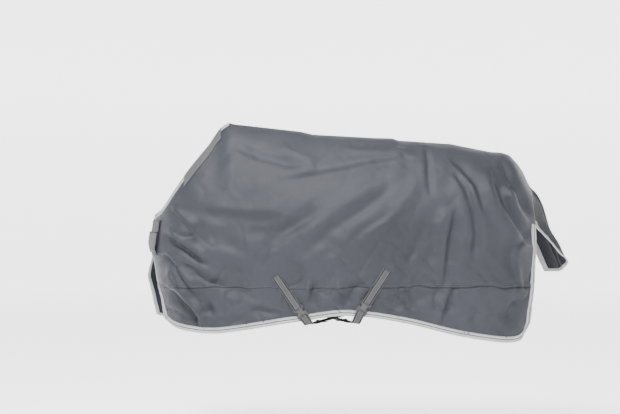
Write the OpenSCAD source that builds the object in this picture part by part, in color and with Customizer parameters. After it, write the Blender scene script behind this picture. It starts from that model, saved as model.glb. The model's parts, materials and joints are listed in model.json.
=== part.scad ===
// Fly sheet for a horse, as it hangs when worn: two cloth sides joined along the spine,
// bound edges, a chest closure, cross surcingles with hooks, a tail flap and leg strap rings.
// +X runs towards the tail, -Y is the near (left) side, +Z is up.
// The origin is on the withers, where the two sides begin to be joined.

/* [Rug] */
// Length from the withers to the rear edge
body_l = 1400; // [1150:10:1700]
// Drop from the withers to the deepest point of the hem
drop = 1000; // [830:10:1200]
// Half the width across the barrel
half_w = 335; // [280:5:405]

/* [Cloth] */
// Thickness of the outer cloth
shell_t = 2; // [1:0.25:3]
// Thickness of the lining
lining_t = 1.5; // [0.75:0.25:2.5]
// Width of the edge binding on each face of the cloth
bind_w = 28; // [20:1:34]
// Thickness of the binding tape
tape_t = 1.2; // [0.8:0.1:2]

/* [Neck band] */
// Width of the pale band along the neckline
band_w = 64; // [45:1:76]
// Thickness of the pale band
band_t = 1.2; // [0.8:0.1:2]

/* [Chest closure] */
// Height of the chest strap
chest_h = 88; // [60:1:110]
// Thickness of the chest strap
chest_t = 4; // [3:0.5:6]
// Thickness of the smooth chest insert
insert_t = 2; // [1:0.25:3]
// Diameter of the snap stud
stud_d = 16; // [12:1:20]
// Height of the snap socket
socket_h = 2; // [1.5:0.25:3]

/* [Surcingles] */
// Width of the webbing
web_w = 40; // [32:1:48]
// Thickness of the webbing
web_t = 2.5; // [2:0.25:3]
// Length of the near side straps
strap_l = 171; // [140:1:210]
// Diameter of the bar that a hook or ring swings on
pin_d = 5; // [4:0.5:6]
// Thickness of the hook and catch plates
plate_t = 3; // [2:0.5:4]
// Length of a hook below its bar
hook_l = 36; // [30:1:44]
// Length of an adjuster
slider_l = 30; // [24:1:36]

/* [Leg strap rings] */
// Length of the tab that holds a ring
tab_l = 52; // [40:1:64]

/* [Tail flap] */
// Width of the tail flap
flap_w = 300; // [240:5:360]
// Drop of the tail flap below the dock
flap_l = 400; // [330:5:480]
// How far the flap's lower edge stands behind its top edge
flap_out = 170; // [120:5:220]

/* [Hidden] */
$fn = 32;

pin_gap = 0.08;       // radial clearance of a bar in its bore
fit_gap = 0.5;        // clearance between pieces that move past each other
lay_gap = 0.3;        // clearance between pieces that lie on each other
cloth_t = shell_t + lining_t;

shell_c = "slategray";
lining_c = "darkslateblue";
tape_c = "silver";
web_c = "darkgray";
plastic_c = "dimgray";

// Lines down one side, from the front edge to the rear edge. Each holds its top point, its widest
// point and its hem point as shares of body_l, half_w and drop, then the angle at which its curve
// starts and how flat it is across the top.
stations = [
    [[-0.250, 0.042, -0.430], [-0.264, 0.042, -0.560], [-0.214, 0.240, -0.912], [70, 1.00]],
    [[-0.214, 0.254, -0.392], [-0.230, 0.388, -0.600], [-0.179, 0.448, -0.942], [60, 1.00]],
    [[-0.154, 0.373, -0.270], [-0.163, 0.642, -0.630], [-0.118, 0.693, -0.958], [52, 1.00]],
    [[-0.075, 0.263, -0.125], [-0.075, 0.782, -0.660], [-0.029, 0.845, -0.961], [40, 1.10]],
    [[ 0.000, 0.000,  0.000], [ 0.029, 0.851, -0.690], [ 0.079, 0.904, -0.940], [ 0, 1.35]],
    [[ 0.164, 0.000, -0.032], [ 0.175, 0.949, -0.640], [ 0.229, 0.940, -0.906], [ 0, 1.15]],
    [[ 0.343, 0.000, -0.060], [ 0.350, 1.000, -0.600], [ 0.386, 0.955, -0.879], [ 0, 1.00]],
    [[ 0.543, 0.000, -0.072], [ 0.546, 0.985, -0.560], [ 0.564, 0.955, -0.910], [ 0, 0.95]],
    [[ 0.729, 0.000, -0.098], [ 0.729, 0.940, -0.520], [ 0.736, 0.940, -0.968], [ 0, 0.90]],
    [[ 0.857, 0.000, -0.131], [ 0.857, 0.896, -0.510], [ 0.868, 0.896, -0.998], [ 0, 0.90]],
    [[ 0.936, 0.000, -0.155], [ 0.941, 0.806, -0.540], [ 0.936, 0.791, -1.000], [ 0, 0.95]],
    [[ 1.000, 0.000, -0.288], [ 1.007, 0.552, -0.540], [ 0.980, 0.663, -0.975], [ 0, 1.00]]
];
last = len(stations) - 1;
withers = 4;                       // the station on the withers, where the neckline ends
seam_z = -0.755 * drop;            // the long seam above the lower panels
full = [body_l, half_w, drop];

function unit(a) = a / norm(a);
function times(a, b) = [a.x * b.x, a.y * b.y, a.z * b.z];
function flip(a) = [a.x, -a.y, a.z];
function spline(a, b, c, d, t) =
    (2 * b + (c - a) * t + (2 * a - 5 * b + 4 * c - d) * t * t
        + (3 * b - a - 3 * c + d) * t * t * t) / 2;

// The station line at u, where u counts stations from the front edge
function line_at(u) =
    let (i = min(floor(u), last - 1),
        s = [for (k = [0:3]) spline(stations[max(i - 1, 0)][k], stations[i][k],
            stations[i + 1][k], stations[min(i + 2, last)][k], u - i)],
        top = u >= withers ? [s[0].x, 0, s[0].z] : s[0])
    [times(top, full), times(s[1], full), times(s[2], full),
        u >= withers ? 0 : max(0, s[3][0]), s[3][1]];

// A point of one side's outer face: v is 0 on the top edge, 1 at the widest, 2 on the seam, 3 on the hem
function round_part(s, v) =
    let (a = s[3] + (90 - s[3]) * v,
        across = pow(max(0, (sin(a) - sin(s[3])) / (1 - sin(s[3]))), s[4]),
        down = (cos(s[3]) - cos(a)) / cos(s[3]))
    [s[0].x + (s[1].x - s[0].x) * down, s[0].y + (s[1].y - s[0].y) * across,
        s[0].z + (s[1].z - s[0].z) * down];
function skirt_part(s, k) =
    [s[1].x + (s[2].x - s[1].x) * k, s[1].y + (s[2].y - s[1].y) * pow(k, 1.5),
        s[1].z + (s[2].z - s[1].z) * k];
function side(u, v) =
    let (s = line_at(u), seam = (seam_z - s[1].z) / (s[2].z - s[1].z))
    v <= 1 ? round_part(s, v)
        : skirt_part(s, v <= 2 ? (v - 1) * seam : seam + (v - 2) * (1 - seam));

// The outward direction at u, v. On the spine it stays in the middle plane.
function outward(u, v) =
    let (e = 0.02,
        du = side(min(u + e, last), v) - side(max(u - e, 0), v),
        dv = side(u, min(v + e, 3)) - side(u, max(v - e, 0)),
        n = cross(du, dv))
    u >= withers && v == 0 ? unit([n.x, 0, n.z]) : unit(n);
function skin_uv(u, v) = [side(u, v), outward(u, v)];

// The place on the side at a given length and height
function v_at(u, z) =
    let (s = line_at(u))
    z > s[1].z ? (acos(cos(s[3]) * (1 - (z - s[0].z) / (s[1].z - s[0].z))) - s[3]) / (90 - s[3])
        : z > seam_z ? 1 + (s[1].z - z) / (s[1].z - seam_z)
        : 2 + (seam_z - z) / (seam_z - s[2].z);
function u_at(x, z, low = 0, high = last, n = 20) =
    let (mid = (low + high) / 2)
    n == 0 ? mid
        : side(mid, v_at(mid, z)).x < x ? u_at(x, z, mid, high, n - 1) : u_at(x, z, low, mid, n - 1);
function skin(x, z) = let (u = u_at(x, z)) skin_uv(u, v_at(u, z));

// Cloth is a grid of places, each with its outward direction. Lines 1 and last but one lie one
// binding width inside the edges.
side_i = 32;
side_j = 12;
seam_j = 9;
wide_j = 7;
neck_i = 10;          // the neckline is bound from the chest up to here
rear_j = 6;           // the rear edge is bound from the hem up to here
function side_u(i, v) =
    i == 0 ? 0
        : i == 1 ? bind_w / norm(side(1, v) - side(0, v))
        : i <= 29 ? 1 + (i - 2) / 3
        : i == 30 ? last - 0.55
        : i == 31 ? last - bind_w / norm(side(last, v) - side(last - 1, v))
        : last;
function side_v(j, u) =
    let (edge = 0.1 * bind_w / norm(side(u, 0.1) - side(u, 0)))
    j == 0 ? 0
        : j <= wide_j ? edge + (1 - edge) * (j - 1) / (wide_j - 1)
        : j == 8 ? 1.5
        : j == seam_j ? 2
        : j == 10 ? 2.5
        : j == 11 ? 3 - bind_w / norm(side(u, 3) - side(u, 2))
        : 3;
side_grid = [for (i = [0:side_i]) [for (j = [0:side_j])
    let (u = side_u(i, side_v(j, side_u(i, 1)))) skin_uv(u, side_v(j, u))]];

// The tail flap: a gore sewn between the rear edges round the tail, then a flap that lifts from its
// lower edge. Here t runs from 1 on the off side to -1 on the near side, and s from the dock down.
flap_i = 10;
gore_j = 4;
flap_j = 6;
gore_from = 0.03;
gore_to = 0.444;
flap_from = 0.452;
flap_gap = 3;         // between the gore and the rear edges
flap_spread = 110;    // how far its lower corners stand behind the rear edges
flap_top = side(last, 0) + [10, 0, 0];
function flap_edge(s) =
    let (z = flap_top.z - 0.93 * flap_l * min(s, gore_to),
        p = side(last, v_at(last, z)), k = max(0, (s - gore_to) / (1 - gore_to)))
    [p.x + flap_gap + cloth_t + flap_spread * pow(k, 1.2), p.y + (flap_w / 2 - p.y) * k,
        flap_top.z - 0.93 * flap_l * s];
function flap_at(t, s) =
    let (mid = flap_top + [flap_out * pow(s, 1.15), 0, -flap_l * s], edge = flap_edge(s))
    [edge.x + (mid.x - edge.x) * (1 - t * t), edge.y * t, edge.z + (mid.z - edge.z) * (1 - t * t)];
function flap_place(t, s) =
    let (e = 0.02,
        dt = flap_at(t - e, s) - flap_at(t + e, s),
        ds = flap_at(t, s + e) - flap_at(t, max(s - e, gore_from)))
    [flap_at(t, s), unit(cross(dt, ds))];
function flap_t(i, s) =
    i == 1 ? 1 - 0.8 * bind_w / flap_edge(s).y
        : i == flap_i - 1 ? 0.8 * bind_w / flap_edge(s).y - 1
        : 1 - 2 * i / flap_i;
function flap_s(j) =
    j == flap_j - 1 ? 1 - bind_w / norm([flap_l, flap_out]) : flap_from + (1 - flap_from) * j / flap_j;
gore_grid = [for (i = [0:flap_i]) [for (j = [0:gore_j])
    flap_place(1 - 2 * i / flap_i, gore_from + (gore_to - gore_from) * j / gore_j)]];
flap_grid = [for (i = [0:flap_i]) [for (j = [0:flap_j]) flap_place(flap_t(i, flap_s(j)), flap_s(j))]];

// A sheet of cloth over part of a grid, between two distances outside the grid. The two cells
// whose corner is bound on both edges are cut the other way, to match the binding's mitre.
module cloth(grid, i0, i1, j0, j1, outer, inner, mitre = false) {
    rows = j1 - j0 + 1;
    count = (i1 - i0 + 1) * rows;
    places = [for (off = [outer, inner]) for (i = [i0:i1]) for (j = [j0:j1])
        grid[i][j][0] + off * grid[i][j][1]];
    skin_faces = [for (i = [i0:i1 - 1]) for (j = [j0:j1 - 1])
        let (a = (i - i0) * rows + j - j0, b = a + rows, c = b + 1, d = a + 1,
            turned = mitre && i == 0 && j == len(grid[0]) - 2)
        each turned
            ? [[a, d, b], [d, c, b], [a, b, d] + [1, 1, 1] * count, [d, b, c] + [1, 1, 1] * count]
            : [[a, d, c], [a, c, b], [a, c, d] + [1, 1, 1] * count, [a, b, c] + [1, 1, 1] * count]];
    top_faces = [for (i = [i0:i1 - 1]) let (a = (i - i0) * rows, b = a + rows)
        each [[a, b, b + count], [a, b + count, a + count]]];
    foot_faces = [for (i = [i0:i1 - 1]) let (d = (i - i0 + 1) * rows - 1, c = d + rows)
        each [[c, d, c + count], [d, d + count, c + count]]];
    front_faces = [for (j = [0:rows - 2]) let (a = j, d = j + 1)
        each [[d, a, d + count], [a, a + count, d + count]]];
    rear_faces = [for (j = [0:rows - 2]) let (b = (i1 - i0) * rows + j, c = b + 1)
        each [[b, c, c + count], [b, c + count, b + count]]];
    polyhedron(places, concat(skin_faces, top_faces, foot_faces, front_faces, rear_faces));
}

// A binding tape folded round the edge of a two-layer cloth. Each place of the route names a grid
// place on the edge, the one a binding width inside it, and which way two of its walls are cut.
module binding(grid, route) {
    n = len(route);
    sections = [for (r = route)
        let (rim = grid[r[0][0]][r[0][1]], in = grid[r[1][0]][r[1][1]], e = unit(rim[0] - in[0]))
        [in[0],
            in[0] + tape_t * in[1],
            rim[0] + tape_t * (rim[1] + e),
            rim[0] - (cloth_t + tape_t) * rim[1] + tape_t * e,
            in[0] - (cloth_t + tape_t) * in[1],
            in[0] - cloth_t * in[1],
            rim[0] - cloth_t * rim[1],
            rim[0] - shell_t * rim[1],
            rim[0]]];
    places = [for (s = sections) each s];
    walls = [for (k = [0:n - 2]) for (p = [0:8])
        let (q = (p + 1) % 9, a = k * 9 + p, b = k * 9 + q, c = b + 9, d = a + 9,
            contact = p == 8 || p == 5,
            cut = contact ? (route[k][2] == (p == 8)) : (p == 6 || p == 7) ? (route[k][3] == 0) : true)
        each (cut ? [[a, b, c], [a, c, d]] : [[a, b, d], [b, c, d]])];
    end = [[0, 2, 1], [0, 8, 2], [8, 7, 2], [7, 3, 2], [7, 6, 3], [6, 4, 3], [6, 5, 4]];
    far = [for (f = end) [f[2], f[1], f[0]] + [1, 1, 1] * 9 * (n - 1)];
    faces = [for (f = concat(walls, end, far))
        if (places[f[0]] != places[f[1]] && places[f[1]] != places[f[2]] && places[f[2]] != places[f[0]]) f];
    polyhedron(places, faces);
}

// Cloth, off side as modelled and near side mirrored
module side_panel() color(shell_c) cloth(side_grid, 0, side_i, 0, seam_j, 0, -shell_t);
module lower_panel() color(shell_c) cloth(side_grid, 0, side_i, seam_j, side_j, 0, -shell_t, true);
module lining() color(lining_c) cloth(side_grid, 0, side_i, 0, side_j, -shell_t, -cloth_t, true);

// The edge binding runs down the neckline and the front edge, along the hem and up the rear edge
edge_route = concat(
    [for (i = [neck_i:-1:1]) [[i, 0], [i, 1], false, 0]],
    [for (j = [0:side_j - 1]) [[0, j], [1, max(j, 1)], true, 1]],
    [for (i = [0:side_i - 1]) [[i, side_j], [max(i, 1), side_j - 1], false, 1]],
    [for (j = [side_j:-1:rear_j]) [[side_i, j], [side_i - 1, min(j, side_j - 1)], true, 0]]
);
module edge_binding() color(tape_c) binding(side_grid, edge_route);

// The pale band lies along the neckline, over the binding, and bends on the same lines as the cloth
band_u = [2.15, 7/3, 8/3, 3, 10/3, 11/3, 3.75];
module neck_band() color(tape_c) {
    grid = [for (u = band_u) let (wide = 0.1 * band_w / norm(side(u, 0.1) - side(u, 0)))
        [for (share = [0, bind_w / band_w, 1]) skin_uv(u, wide * share)]];
    lift = tape_t + 3 * lay_gap;
    cloth(grid, 0, len(band_u) - 1, 0, 2, lift + band_t, lift);
}

// Pieces round the chest follow both front edges, near side first
insert_z = [-0.455 * drop, -0.575 * drop];
strap_z = -0.515 * drop;
chest_u = [0.9, 0.58, 0.25, 0];
function round_chest(us, z) = concat(
    [for (u = us) let (p = skin_uv(u, v_at(u, z))) [flip(p[0]), flip(p[1])]],
    [for (k = [len(us) - 1:-1:0]) skin_uv(us[k], v_at(us[k], z))]);
function by_columns(rows) = [for (k = [0:len(rows[0]) - 1]) [for (r = rows) r[k]]];
module wrap(us, z0, z1, outer, inner) {
    grid = by_columns([for (r = [0:3]) round_chest(us, z0 + (z1 - z0) * r / 3)]);
    cloth(grid, 0, len(grid) - 1, 0, 3, outer, inner);
}
insert_in = tape_t + 10 * lay_gap;    // it bridges the hollows between the bound edges
insert_out = insert_in + insert_t;
socket_out = insert_out + socket_h + lay_gap;
strap_in = socket_out + 2 * fit_gap;
strap_out = strap_in + chest_t;
module chest_insert() color(plastic_c) wrap(chest_u, insert_z[0], insert_z[1], insert_out, insert_in);
module chest_strap() color(web_c) wrap(chest_u, strap_z, strap_z - chest_h, strap_out, strap_in);

// The strap's sewn end on the off side, from where the strap swings
module chest_anchor() color(web_c) {
    us = [chest_u[0] + 0.03, 1.2, 1.5];
    grid = by_columns([for (r = [0:3]) [for (u = us)
        let (z = strap_z - chest_h * r / 3) skin_uv(u, v_at(u, z))]]);
    cloth(grid, 0, 2, 0, 3, strap_out, insert_in);
}

// The pull tab hangs from the strap's lower edge on the near side
module pull_tab() color("seagreen") {
    tab_drop = 20;
    foot = strap_z - chest_h;
    grid = [for (u = [chest_u[0], chest_u[1]]) [for (z = [foot - lay_gap, foot - tab_drop])
        let (p = skin_uv(u, v_at(u, foot))) [[p[0].x, -p[0].y, z], flip(p[1])]]];
    cloth(grid, 0, 1, 0, 1, strap_out, strap_in);
}

// A place for round pieces on the near side of the chest, on the middle of the strap's flat between
// its second and third lines, at a distance from the cloth and turned to face outward
function off_chest(u, z, off) = let (p = skin_uv(u, v_at(u, z))) p[0] + off * p[1];
module at_snap(off) {
    high = strap_z - chest_h / 3;
    low = strap_z - 2 * chest_h / 3;
    a = [for (z = [high, low]) off_chest(chest_u[1], z, off)];
    b = [for (z = [high, low]) off_chest(chest_u[2], z, off)];
    n = unit(cross(b[0] + b[1] - a[0] - a[1], a[0] + b[0] - a[1] - b[1]));
    mirror([0, 1, 0]) translate((a[0] + a[1] + b[0] + b[1]) / 4)
        rotate([0, acos(n.z), atan2(n.y, n.x)]) children();
}
socket_rim = 5;
module snap_socket() color(plastic_c) at_snap(insert_out) translate([0, 0, lay_gap]) difference() {
    cylinder(d = stud_d + 2 * socket_rim, h = socket_h);
    translate([0, 0, -1]) cylinder(d = stud_d + socket_rim, h = socket_h + 2);
}
module snap_stud() color("silver") at_snap(strap_in)
    translate([0, 0, -socket_h - 3 * lay_gap]) cylinder(d = stud_d, h = socket_h);

// Surcingles. Each near side strap runs down its side to a bar; the hook on the bar enters the
// catch on a belly strap, which crosses under the belly and runs up the other side.
front_x = [0.159 * body_l, -0.704 * drop];
rear_x = [0.514 * body_l, -0.677 * drop];
front_lean = 35;      // the front strap leans back going down, the rear strap leans forward
rear_lean = -32.5;
strap_lift = 3;       // clear of the cloth, which curves under the flat webbing
barrel_r = pin_d / 2 + pin_gap + web_t;
fold_in = 0.15;       // the flat webbing runs into the fold this far inside its outer face
fold_up = 1.2;        // and this far above its axis
fold_side = 0.4;      // the fold is narrower than the webbing by this much each side
function strap_foot(top, lean) = skin(top.x + strap_l * sin(lean), top.y - strap_l * cos(lean))[0];
function strap_head(top) = skin(top.x, top.y)[0];
function tilt(head, foot) = asin((head.y - foot.y) / norm(head - foot));
function swing(head, foot) = atan2(head.x - foot.x, head.z - foot.z);

// The frame at a strap's bar on the off side: x across the strap, y outward, z up the strap
module at_bar(top, lean) {
    head = strap_head(top);
    foot = strap_foot(top, lean);
    translate(foot + [0, strap_lift + barrel_r, 0]) rotate([0, swing(head, foot), 0]) children();
}
module strap(top, lean) color(web_c) at_bar(top, lean) {
    rise = tilt(strap_head(top), strap_foot(top, lean));
    difference() {
        union() {
            translate([fold_side - web_w / 2, 0, 0]) rotate([0, 90, 0])
                cylinder(r = barrel_r, h = web_w - 2 * fold_side);
            rotate([-rise, 0, 0]) translate([-web_w / 2, fold_in - barrel_r, fold_up])
                cube([web_w, web_t, strap_l - fold_up]);
        }
        translate([-web_w / 2 - 1, 0, 0]) rotate([0, 90, 0])
            cylinder(r = pin_d / 2 + pin_gap, h = web_w + 2);
    }
}

// A hook: its bar turns in the strap's fold, and its tongue reaches in through the catch
arm_w = 4;
frame_w = web_w + 2 * (arm_w + fit_gap);
window_h = barrel_r + 1;
neck_w = 26;
tongue_w = 14;
tongue_h = 4;
catch_in = plate_t / 2 + 1;   // from the bar's axis to the catch's outer face
module hook() color(plastic_c) {
    translate([-frame_w / 2, 0, 0]) rotate([0, 90, 0]) cylinder(d = pin_d, h = frame_w);
    difference() {
        translate([0, plate_t / 2, 0]) rotate([90, 0, 0]) linear_extrude(plate_t)
            polygon([[-frame_w / 2, 2], [frame_w / 2, 2], [frame_w / 2, -window_h - 3],
                [neck_w / 2, -window_h - 9], [neck_w / 2, -hook_l], [-neck_w / 2, -hook_l],
                [-neck_w / 2, -window_h - 9], [-frame_w / 2, -window_h - 3]]);
        translate([-web_w / 2 - fit_gap, -plate_t, -window_h])
            cube([web_w + 2 * fit_gap, 2 * plate_t, window_h + 4]);
    }
    translate([-tongue_w / 2, -catch_in - plate_t, -hook_l]) cube([tongue_w, catch_in + plate_t, tongue_h]);
}

// A catch: a plate with a slot for the tongue and a slot for the belly strap
catch_top = -hook_l + tongue_h + 5;
web_slot_z = -hook_l - 14;
catch_foot = web_slot_z - 7;
module catch_plate() color(plastic_c) difference() {
    translate([-frame_w / 2, -catch_in - plate_t, catch_foot])
        cube([frame_w, plate_t, catch_top - catch_foot]);
    translate([-tongue_w / 2 - 1, -catch_in - plate_t - 1, -hook_l - 1.5])
        cube([tongue_w + 2, plate_t + 2, tongue_h + 3]);
    translate([-web_w / 2 - 1, -catch_in - plate_t - 1, web_slot_z - 2.5])
        cube([web_w + 2, plate_t + 2, 5]);
}

// Belly straps: places along each, with the direction across the webbing
function off_bar(top, lean) =
    strap_foot(top, lean) + [0, strap_lift + barrel_r, 0];
function down_strap(top, lean, d, y) =
    let (a = swing(strap_head(top), strap_foot(top, lean)), p = off_bar(top, lean))
    [p.x - sin(a) * d, p.y + y, p.z - cos(a) * d];
function across_strap(top, lean) =
    let (a = swing(strap_head(top), strap_foot(top, lean))) [cos(a), 0, -sin(a)];
front_belly_z = -0.918 * drop;
rear_belly_z = -0.9125 * drop;
on_catch = (plate_t + web_t) / 2 + lay_gap;   // the webbing's end lies on the catch's outer face
belly_ease = [[0, -on_catch, 0], [13, -on_catch - 2, 0.55], [21, 6, 0.9], [30, 24, 1], [40, 60, 1]];
level_steps = 5;

// The turn under the hem from a side to the level stretch, on the off side. Toward is 1 when the
// strap heads to the rear. The last place is where the level stretch begins.
function turn_under(top, lean, z, toward, level) =
    let (slot = down_strap(top, lean, -web_slot_z, -catch_in - plate_t / 2), a = across_strap(top, lean))
    [for (k = [0:4]) let (e = belly_ease[k])
        [[slot.x + toward * e[0], slot.y - e[1], slot.z + (z - slot.z) * e[2]],
            a * (4 - k) / 4 + level * k / 4]];
function run_up(top, lean) =
    let (a = across_strap(top, lean))
    [[down_strap(top, lean, 6, -barrel_r + web_t / 2), a],
        [strap_head(top) + [0, strap_lift + web_t / 2, 0], a]];
function belly_end(top, lean, z, toward) = turn_under(top, lean, z, toward, [1, 0, 0])[4][0];
function belly_ends(a, b, z, toward) =
    [flip(belly_end(a[0], a[1], z, toward)), belly_end(b[0], b[1], z, -toward)];
function belly_route(a, b, z, toward) =
    let (ends = belly_ends(a, b, z, toward), d = unit(ends[1] - ends[0]), level = [d.y, -d.x, 0],
        near = turn_under(a[0], a[1], z, toward, flip(level)),
        off = turn_under(b[0], b[1], z, -toward, level),
        between = [for (k = [1:level_steps - 1])
            [ends[0] + (ends[1] - ends[0]) * k / level_steps, level]])
    concat([for (p = near) [flip(p[0]), flip(p[1])]], between,
        [for (k = [4:-1:0]) off[k]], run_up(b[0], b[1]));
front_side = [front_x, front_lean];
rear_side = [rear_x, rear_lean];

module webbing(route) {
    n = len(route);
    places = [for (k = [0:n - 1]) let (
            ahead = unit(route[min(k + 1, n - 1)][0] - route[max(k - 1, 0)][0]),
            side_way = unit(route[k][1] - (route[k][1] * ahead) * ahead),
            up = cross(ahead, side_way),
            w = side_way * web_w / 2, t = up * web_t / 2)
        each [route[k][0] - w - t, route[k][0] + w - t, route[k][0] + w + t, route[k][0] - w + t]];
    walls = [for (k = [0:n - 2]) for (p = [0:3])
        let (q = (p + 1) % 4, a = 4 * k + p, b = 4 * k + q)
        each p < 2 ? [[a, b, b + 4], [a, b + 4, a + 4]] : [[a, b, a + 4], [b, b + 4, a + 4]]];
    m = 4 * (n - 1);
    polyhedron(places, concat(walls, [[0, 2, 1], [0, 3, 2]], [[m, m + 1, m + 2], [m, m + 2, m + 3]]));
}

module front_belly_strap() color(web_c) webbing(belly_route(front_side, rear_side, front_belly_z, 1));
module rear_belly_strap() color(web_c) webbing(belly_route(rear_side, front_side, rear_belly_z, -1));

// An adjuster slides along the level stretch: two side rails, a bar over the webbing and two under it
slider_at = 130;      // from the start of the level stretch
rail_w = 4;
bar_h = 2.5;
module at_slider(a, b, z, toward) {
    ends = belly_ends(a, b, z, toward);
    d = unit(ends[1] - ends[0]);
    translate(ends[0] + d * slider_at) rotate([0, 0, atan2(d.y, d.x)]) children();
}
module slider() color(plastic_c) {
    clear = web_t / 2 + fit_gap;
    inner = web_w / 2 + fit_gap;
    for (s = [-1, 1]) {
        translate([-slider_l / 2, s * (inner + rail_w / 2) - rail_w / 2, -clear - bar_h])
            cube([slider_l, rail_w, 2 * (clear + bar_h)]);
        translate([s * (slider_l - 6) / 2 - 3, -inner, -clear - bar_h]) cube([6, 2 * inner, bar_h]);
    }
    translate([-4, -inner, clear]) cube([8, 2 * inner, bar_h]);
}

// Leg strap rings hang inside the rear edges
leg_place = [0.975 * body_l, -0.595 * drop];
tab_lift = 3;         // clear of the lining, which curves round the flat tab
module at_leg_tab() {
    p = skin(leg_place.x, leg_place.y);
    translate(p[0]) rotate([0, 0, atan2(p[1].y, p[1].x) - 90])
        translate([0, -cloth_t - tab_lift, 0]) children();
}
module leg_tab() color(web_c) at_leg_tab() difference() {
    union() {
        translate([-web_w / 2, -web_t - fold_in, fold_up - tab_l]) cube([web_w, web_t, tab_l - fold_up]);
        translate([fold_side - web_w / 2, -barrel_r, -tab_l]) rotate([0, 90, 0])
            cylinder(r = barrel_r, h = web_w - 2 * fold_side);
    }
    translate([-web_w / 2 - 1, -barrel_r, -tab_l]) rotate([0, 90, 0])
        cylinder(r = pin_d / 2 + pin_gap, h = web_w + 2);
}
module leg_ring() color("gray") at_leg_tab() translate([0, -barrel_r, -tab_l]) {
    reach = web_w / 2 + fit_gap + pin_d / 2;
    translate([-reach, 0, 0]) rotate([0, 90, 0]) cylinder(d = pin_d, h = 2 * reach);
    rotate([-90, 0, 0]) rotate_extrude(angle = 180) translate([reach, 0]) circle(d = pin_d);
    for (s = [-1, 1]) translate([s * reach, 0, 0]) sphere(d = pin_d);
}

// The tail gore and the tail flap
module tail_gore() color(shell_c) cloth(gore_grid, 0, flap_i, 0, gore_j, 0, -shell_t);
module tail_gore_lining() color(lining_c) cloth(gore_grid, 0, flap_i, 0, gore_j, -shell_t, -cloth_t);
module flap_cloth(outer, inner) cloth(flap_grid, 0, flap_i, 0, flap_j, outer, inner, true);
module tail_flap_panel() color(shell_c) flap_cloth(0, -shell_t);
module tail_flap_lining() color(lining_c) flap_cloth(-shell_t, -cloth_t);
flap_route = concat(
    [for (j = [1:flap_j - 1]) [[0, j], [1, j], true, 1]],
    [for (i = [0:flap_i - 1]) [[i, flap_j], [max(i, 1), flap_j - 1], false, 1]],
    [for (j = [flap_j:-1:1]) [[flap_i, j], [flap_i - 1, min(j, flap_j - 1)], true, 0]]
);
module tail_flap_binding() color(tape_c) binding(flap_grid, flap_route);

module near() mirror([0, 1, 0]) children();

near() side_panel();  // near_side_panel
side_panel();  // off_side_panel
near() lower_panel();  // near_lower_panel
lower_panel();  // off_lower_panel
near() lining();  // near_lining
lining();  // off_lining
near() edge_binding();  // near_edge_binding
edge_binding();  // off_edge_binding
near() neck_band();  // near_neck_band
neck_band();  // off_neck_band
chest_insert();
snap_socket();
chest_anchor();
near() strap(front_x, front_lean);  // near_front_strap
near() strap(rear_x, rear_lean);  // near_rear_strap
front_belly_strap();
rear_belly_strap();
near() at_bar(front_x, front_lean) catch_plate();  // front_catch
near() at_bar(rear_x, rear_lean) catch_plate();  // rear_catch
near() leg_tab();  // near_leg_tab
leg_tab();  // off_leg_tab
chest_strap();
snap_stud();
pull_tab();
near() at_bar(front_x, front_lean) hook();  // front_hook
near() at_bar(rear_x, rear_lean) hook();  // rear_hook
at_slider(front_side, rear_side, front_belly_z, 1) slider();  // front_adjuster
at_slider(rear_side, front_side, rear_belly_z, -1) slider();  // rear_adjuster
tail_gore();
tail_gore_lining();
tail_flap_panel();
tail_flap_lining();
tail_flap_binding();
near() leg_ring();  // near_leg_ring
leg_ring();  // off_leg_ring
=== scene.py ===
# Horse rug as worn: draped cloth sides, lining, bound edges, webbing, hooks and a tail flap.
# Near side is -Y, tail is +X. Everything is in metres.
import json
import math

import bpy
import numpy as np
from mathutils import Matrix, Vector


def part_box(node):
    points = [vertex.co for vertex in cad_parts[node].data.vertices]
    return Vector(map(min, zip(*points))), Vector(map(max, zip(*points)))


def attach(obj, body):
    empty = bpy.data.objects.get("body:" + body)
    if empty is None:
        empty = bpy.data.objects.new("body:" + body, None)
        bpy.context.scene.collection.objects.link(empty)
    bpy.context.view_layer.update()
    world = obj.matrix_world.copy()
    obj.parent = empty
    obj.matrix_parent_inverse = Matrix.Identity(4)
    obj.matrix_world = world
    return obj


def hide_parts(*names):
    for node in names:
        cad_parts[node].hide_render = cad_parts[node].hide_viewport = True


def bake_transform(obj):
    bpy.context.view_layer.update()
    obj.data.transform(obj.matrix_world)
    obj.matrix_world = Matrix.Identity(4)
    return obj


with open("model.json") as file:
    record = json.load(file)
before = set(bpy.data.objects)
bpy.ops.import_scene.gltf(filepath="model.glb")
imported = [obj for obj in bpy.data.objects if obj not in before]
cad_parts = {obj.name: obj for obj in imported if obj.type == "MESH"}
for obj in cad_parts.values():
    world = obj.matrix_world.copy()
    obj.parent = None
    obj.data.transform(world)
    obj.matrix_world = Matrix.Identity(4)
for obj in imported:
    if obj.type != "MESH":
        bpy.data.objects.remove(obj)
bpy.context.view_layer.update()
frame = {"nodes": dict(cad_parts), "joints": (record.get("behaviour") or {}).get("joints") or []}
joints = {j["name"]: j for j in frame["joints"]}
scene = bpy.context.scene


def unit(v):
    return v / np.maximum(np.linalg.norm(v, axis=-1, keepdims=True), 1e-12)


def smooth(t):
    t = np.clip(t, 0, 1)
    return t * t * (3 - 2 * t)


def between(a, b, c, d, t):  # a smooth line from b to c, with a before it and d after it
    return (2 * b + (c - a) * t + (2 * a - 5 * b + 4 * c - d) * t ** 2 + (3 * b - a - 3 * c + d) * t ** 3) / 2


def runAlong(route):  # how far along the route each of its points lies
    return np.concatenate([[0], np.cumsum(np.linalg.norm(np.diff(route, axis=0), axis=1))])


def srgb(r, g, b):
    share = [c / 255 for c in (r, g, b)]
    return tuple(c / 12.92 if c < 0.04045 else ((c + 0.055) / 1.055) ** 2.4 for c in share) + (1,)


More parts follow.
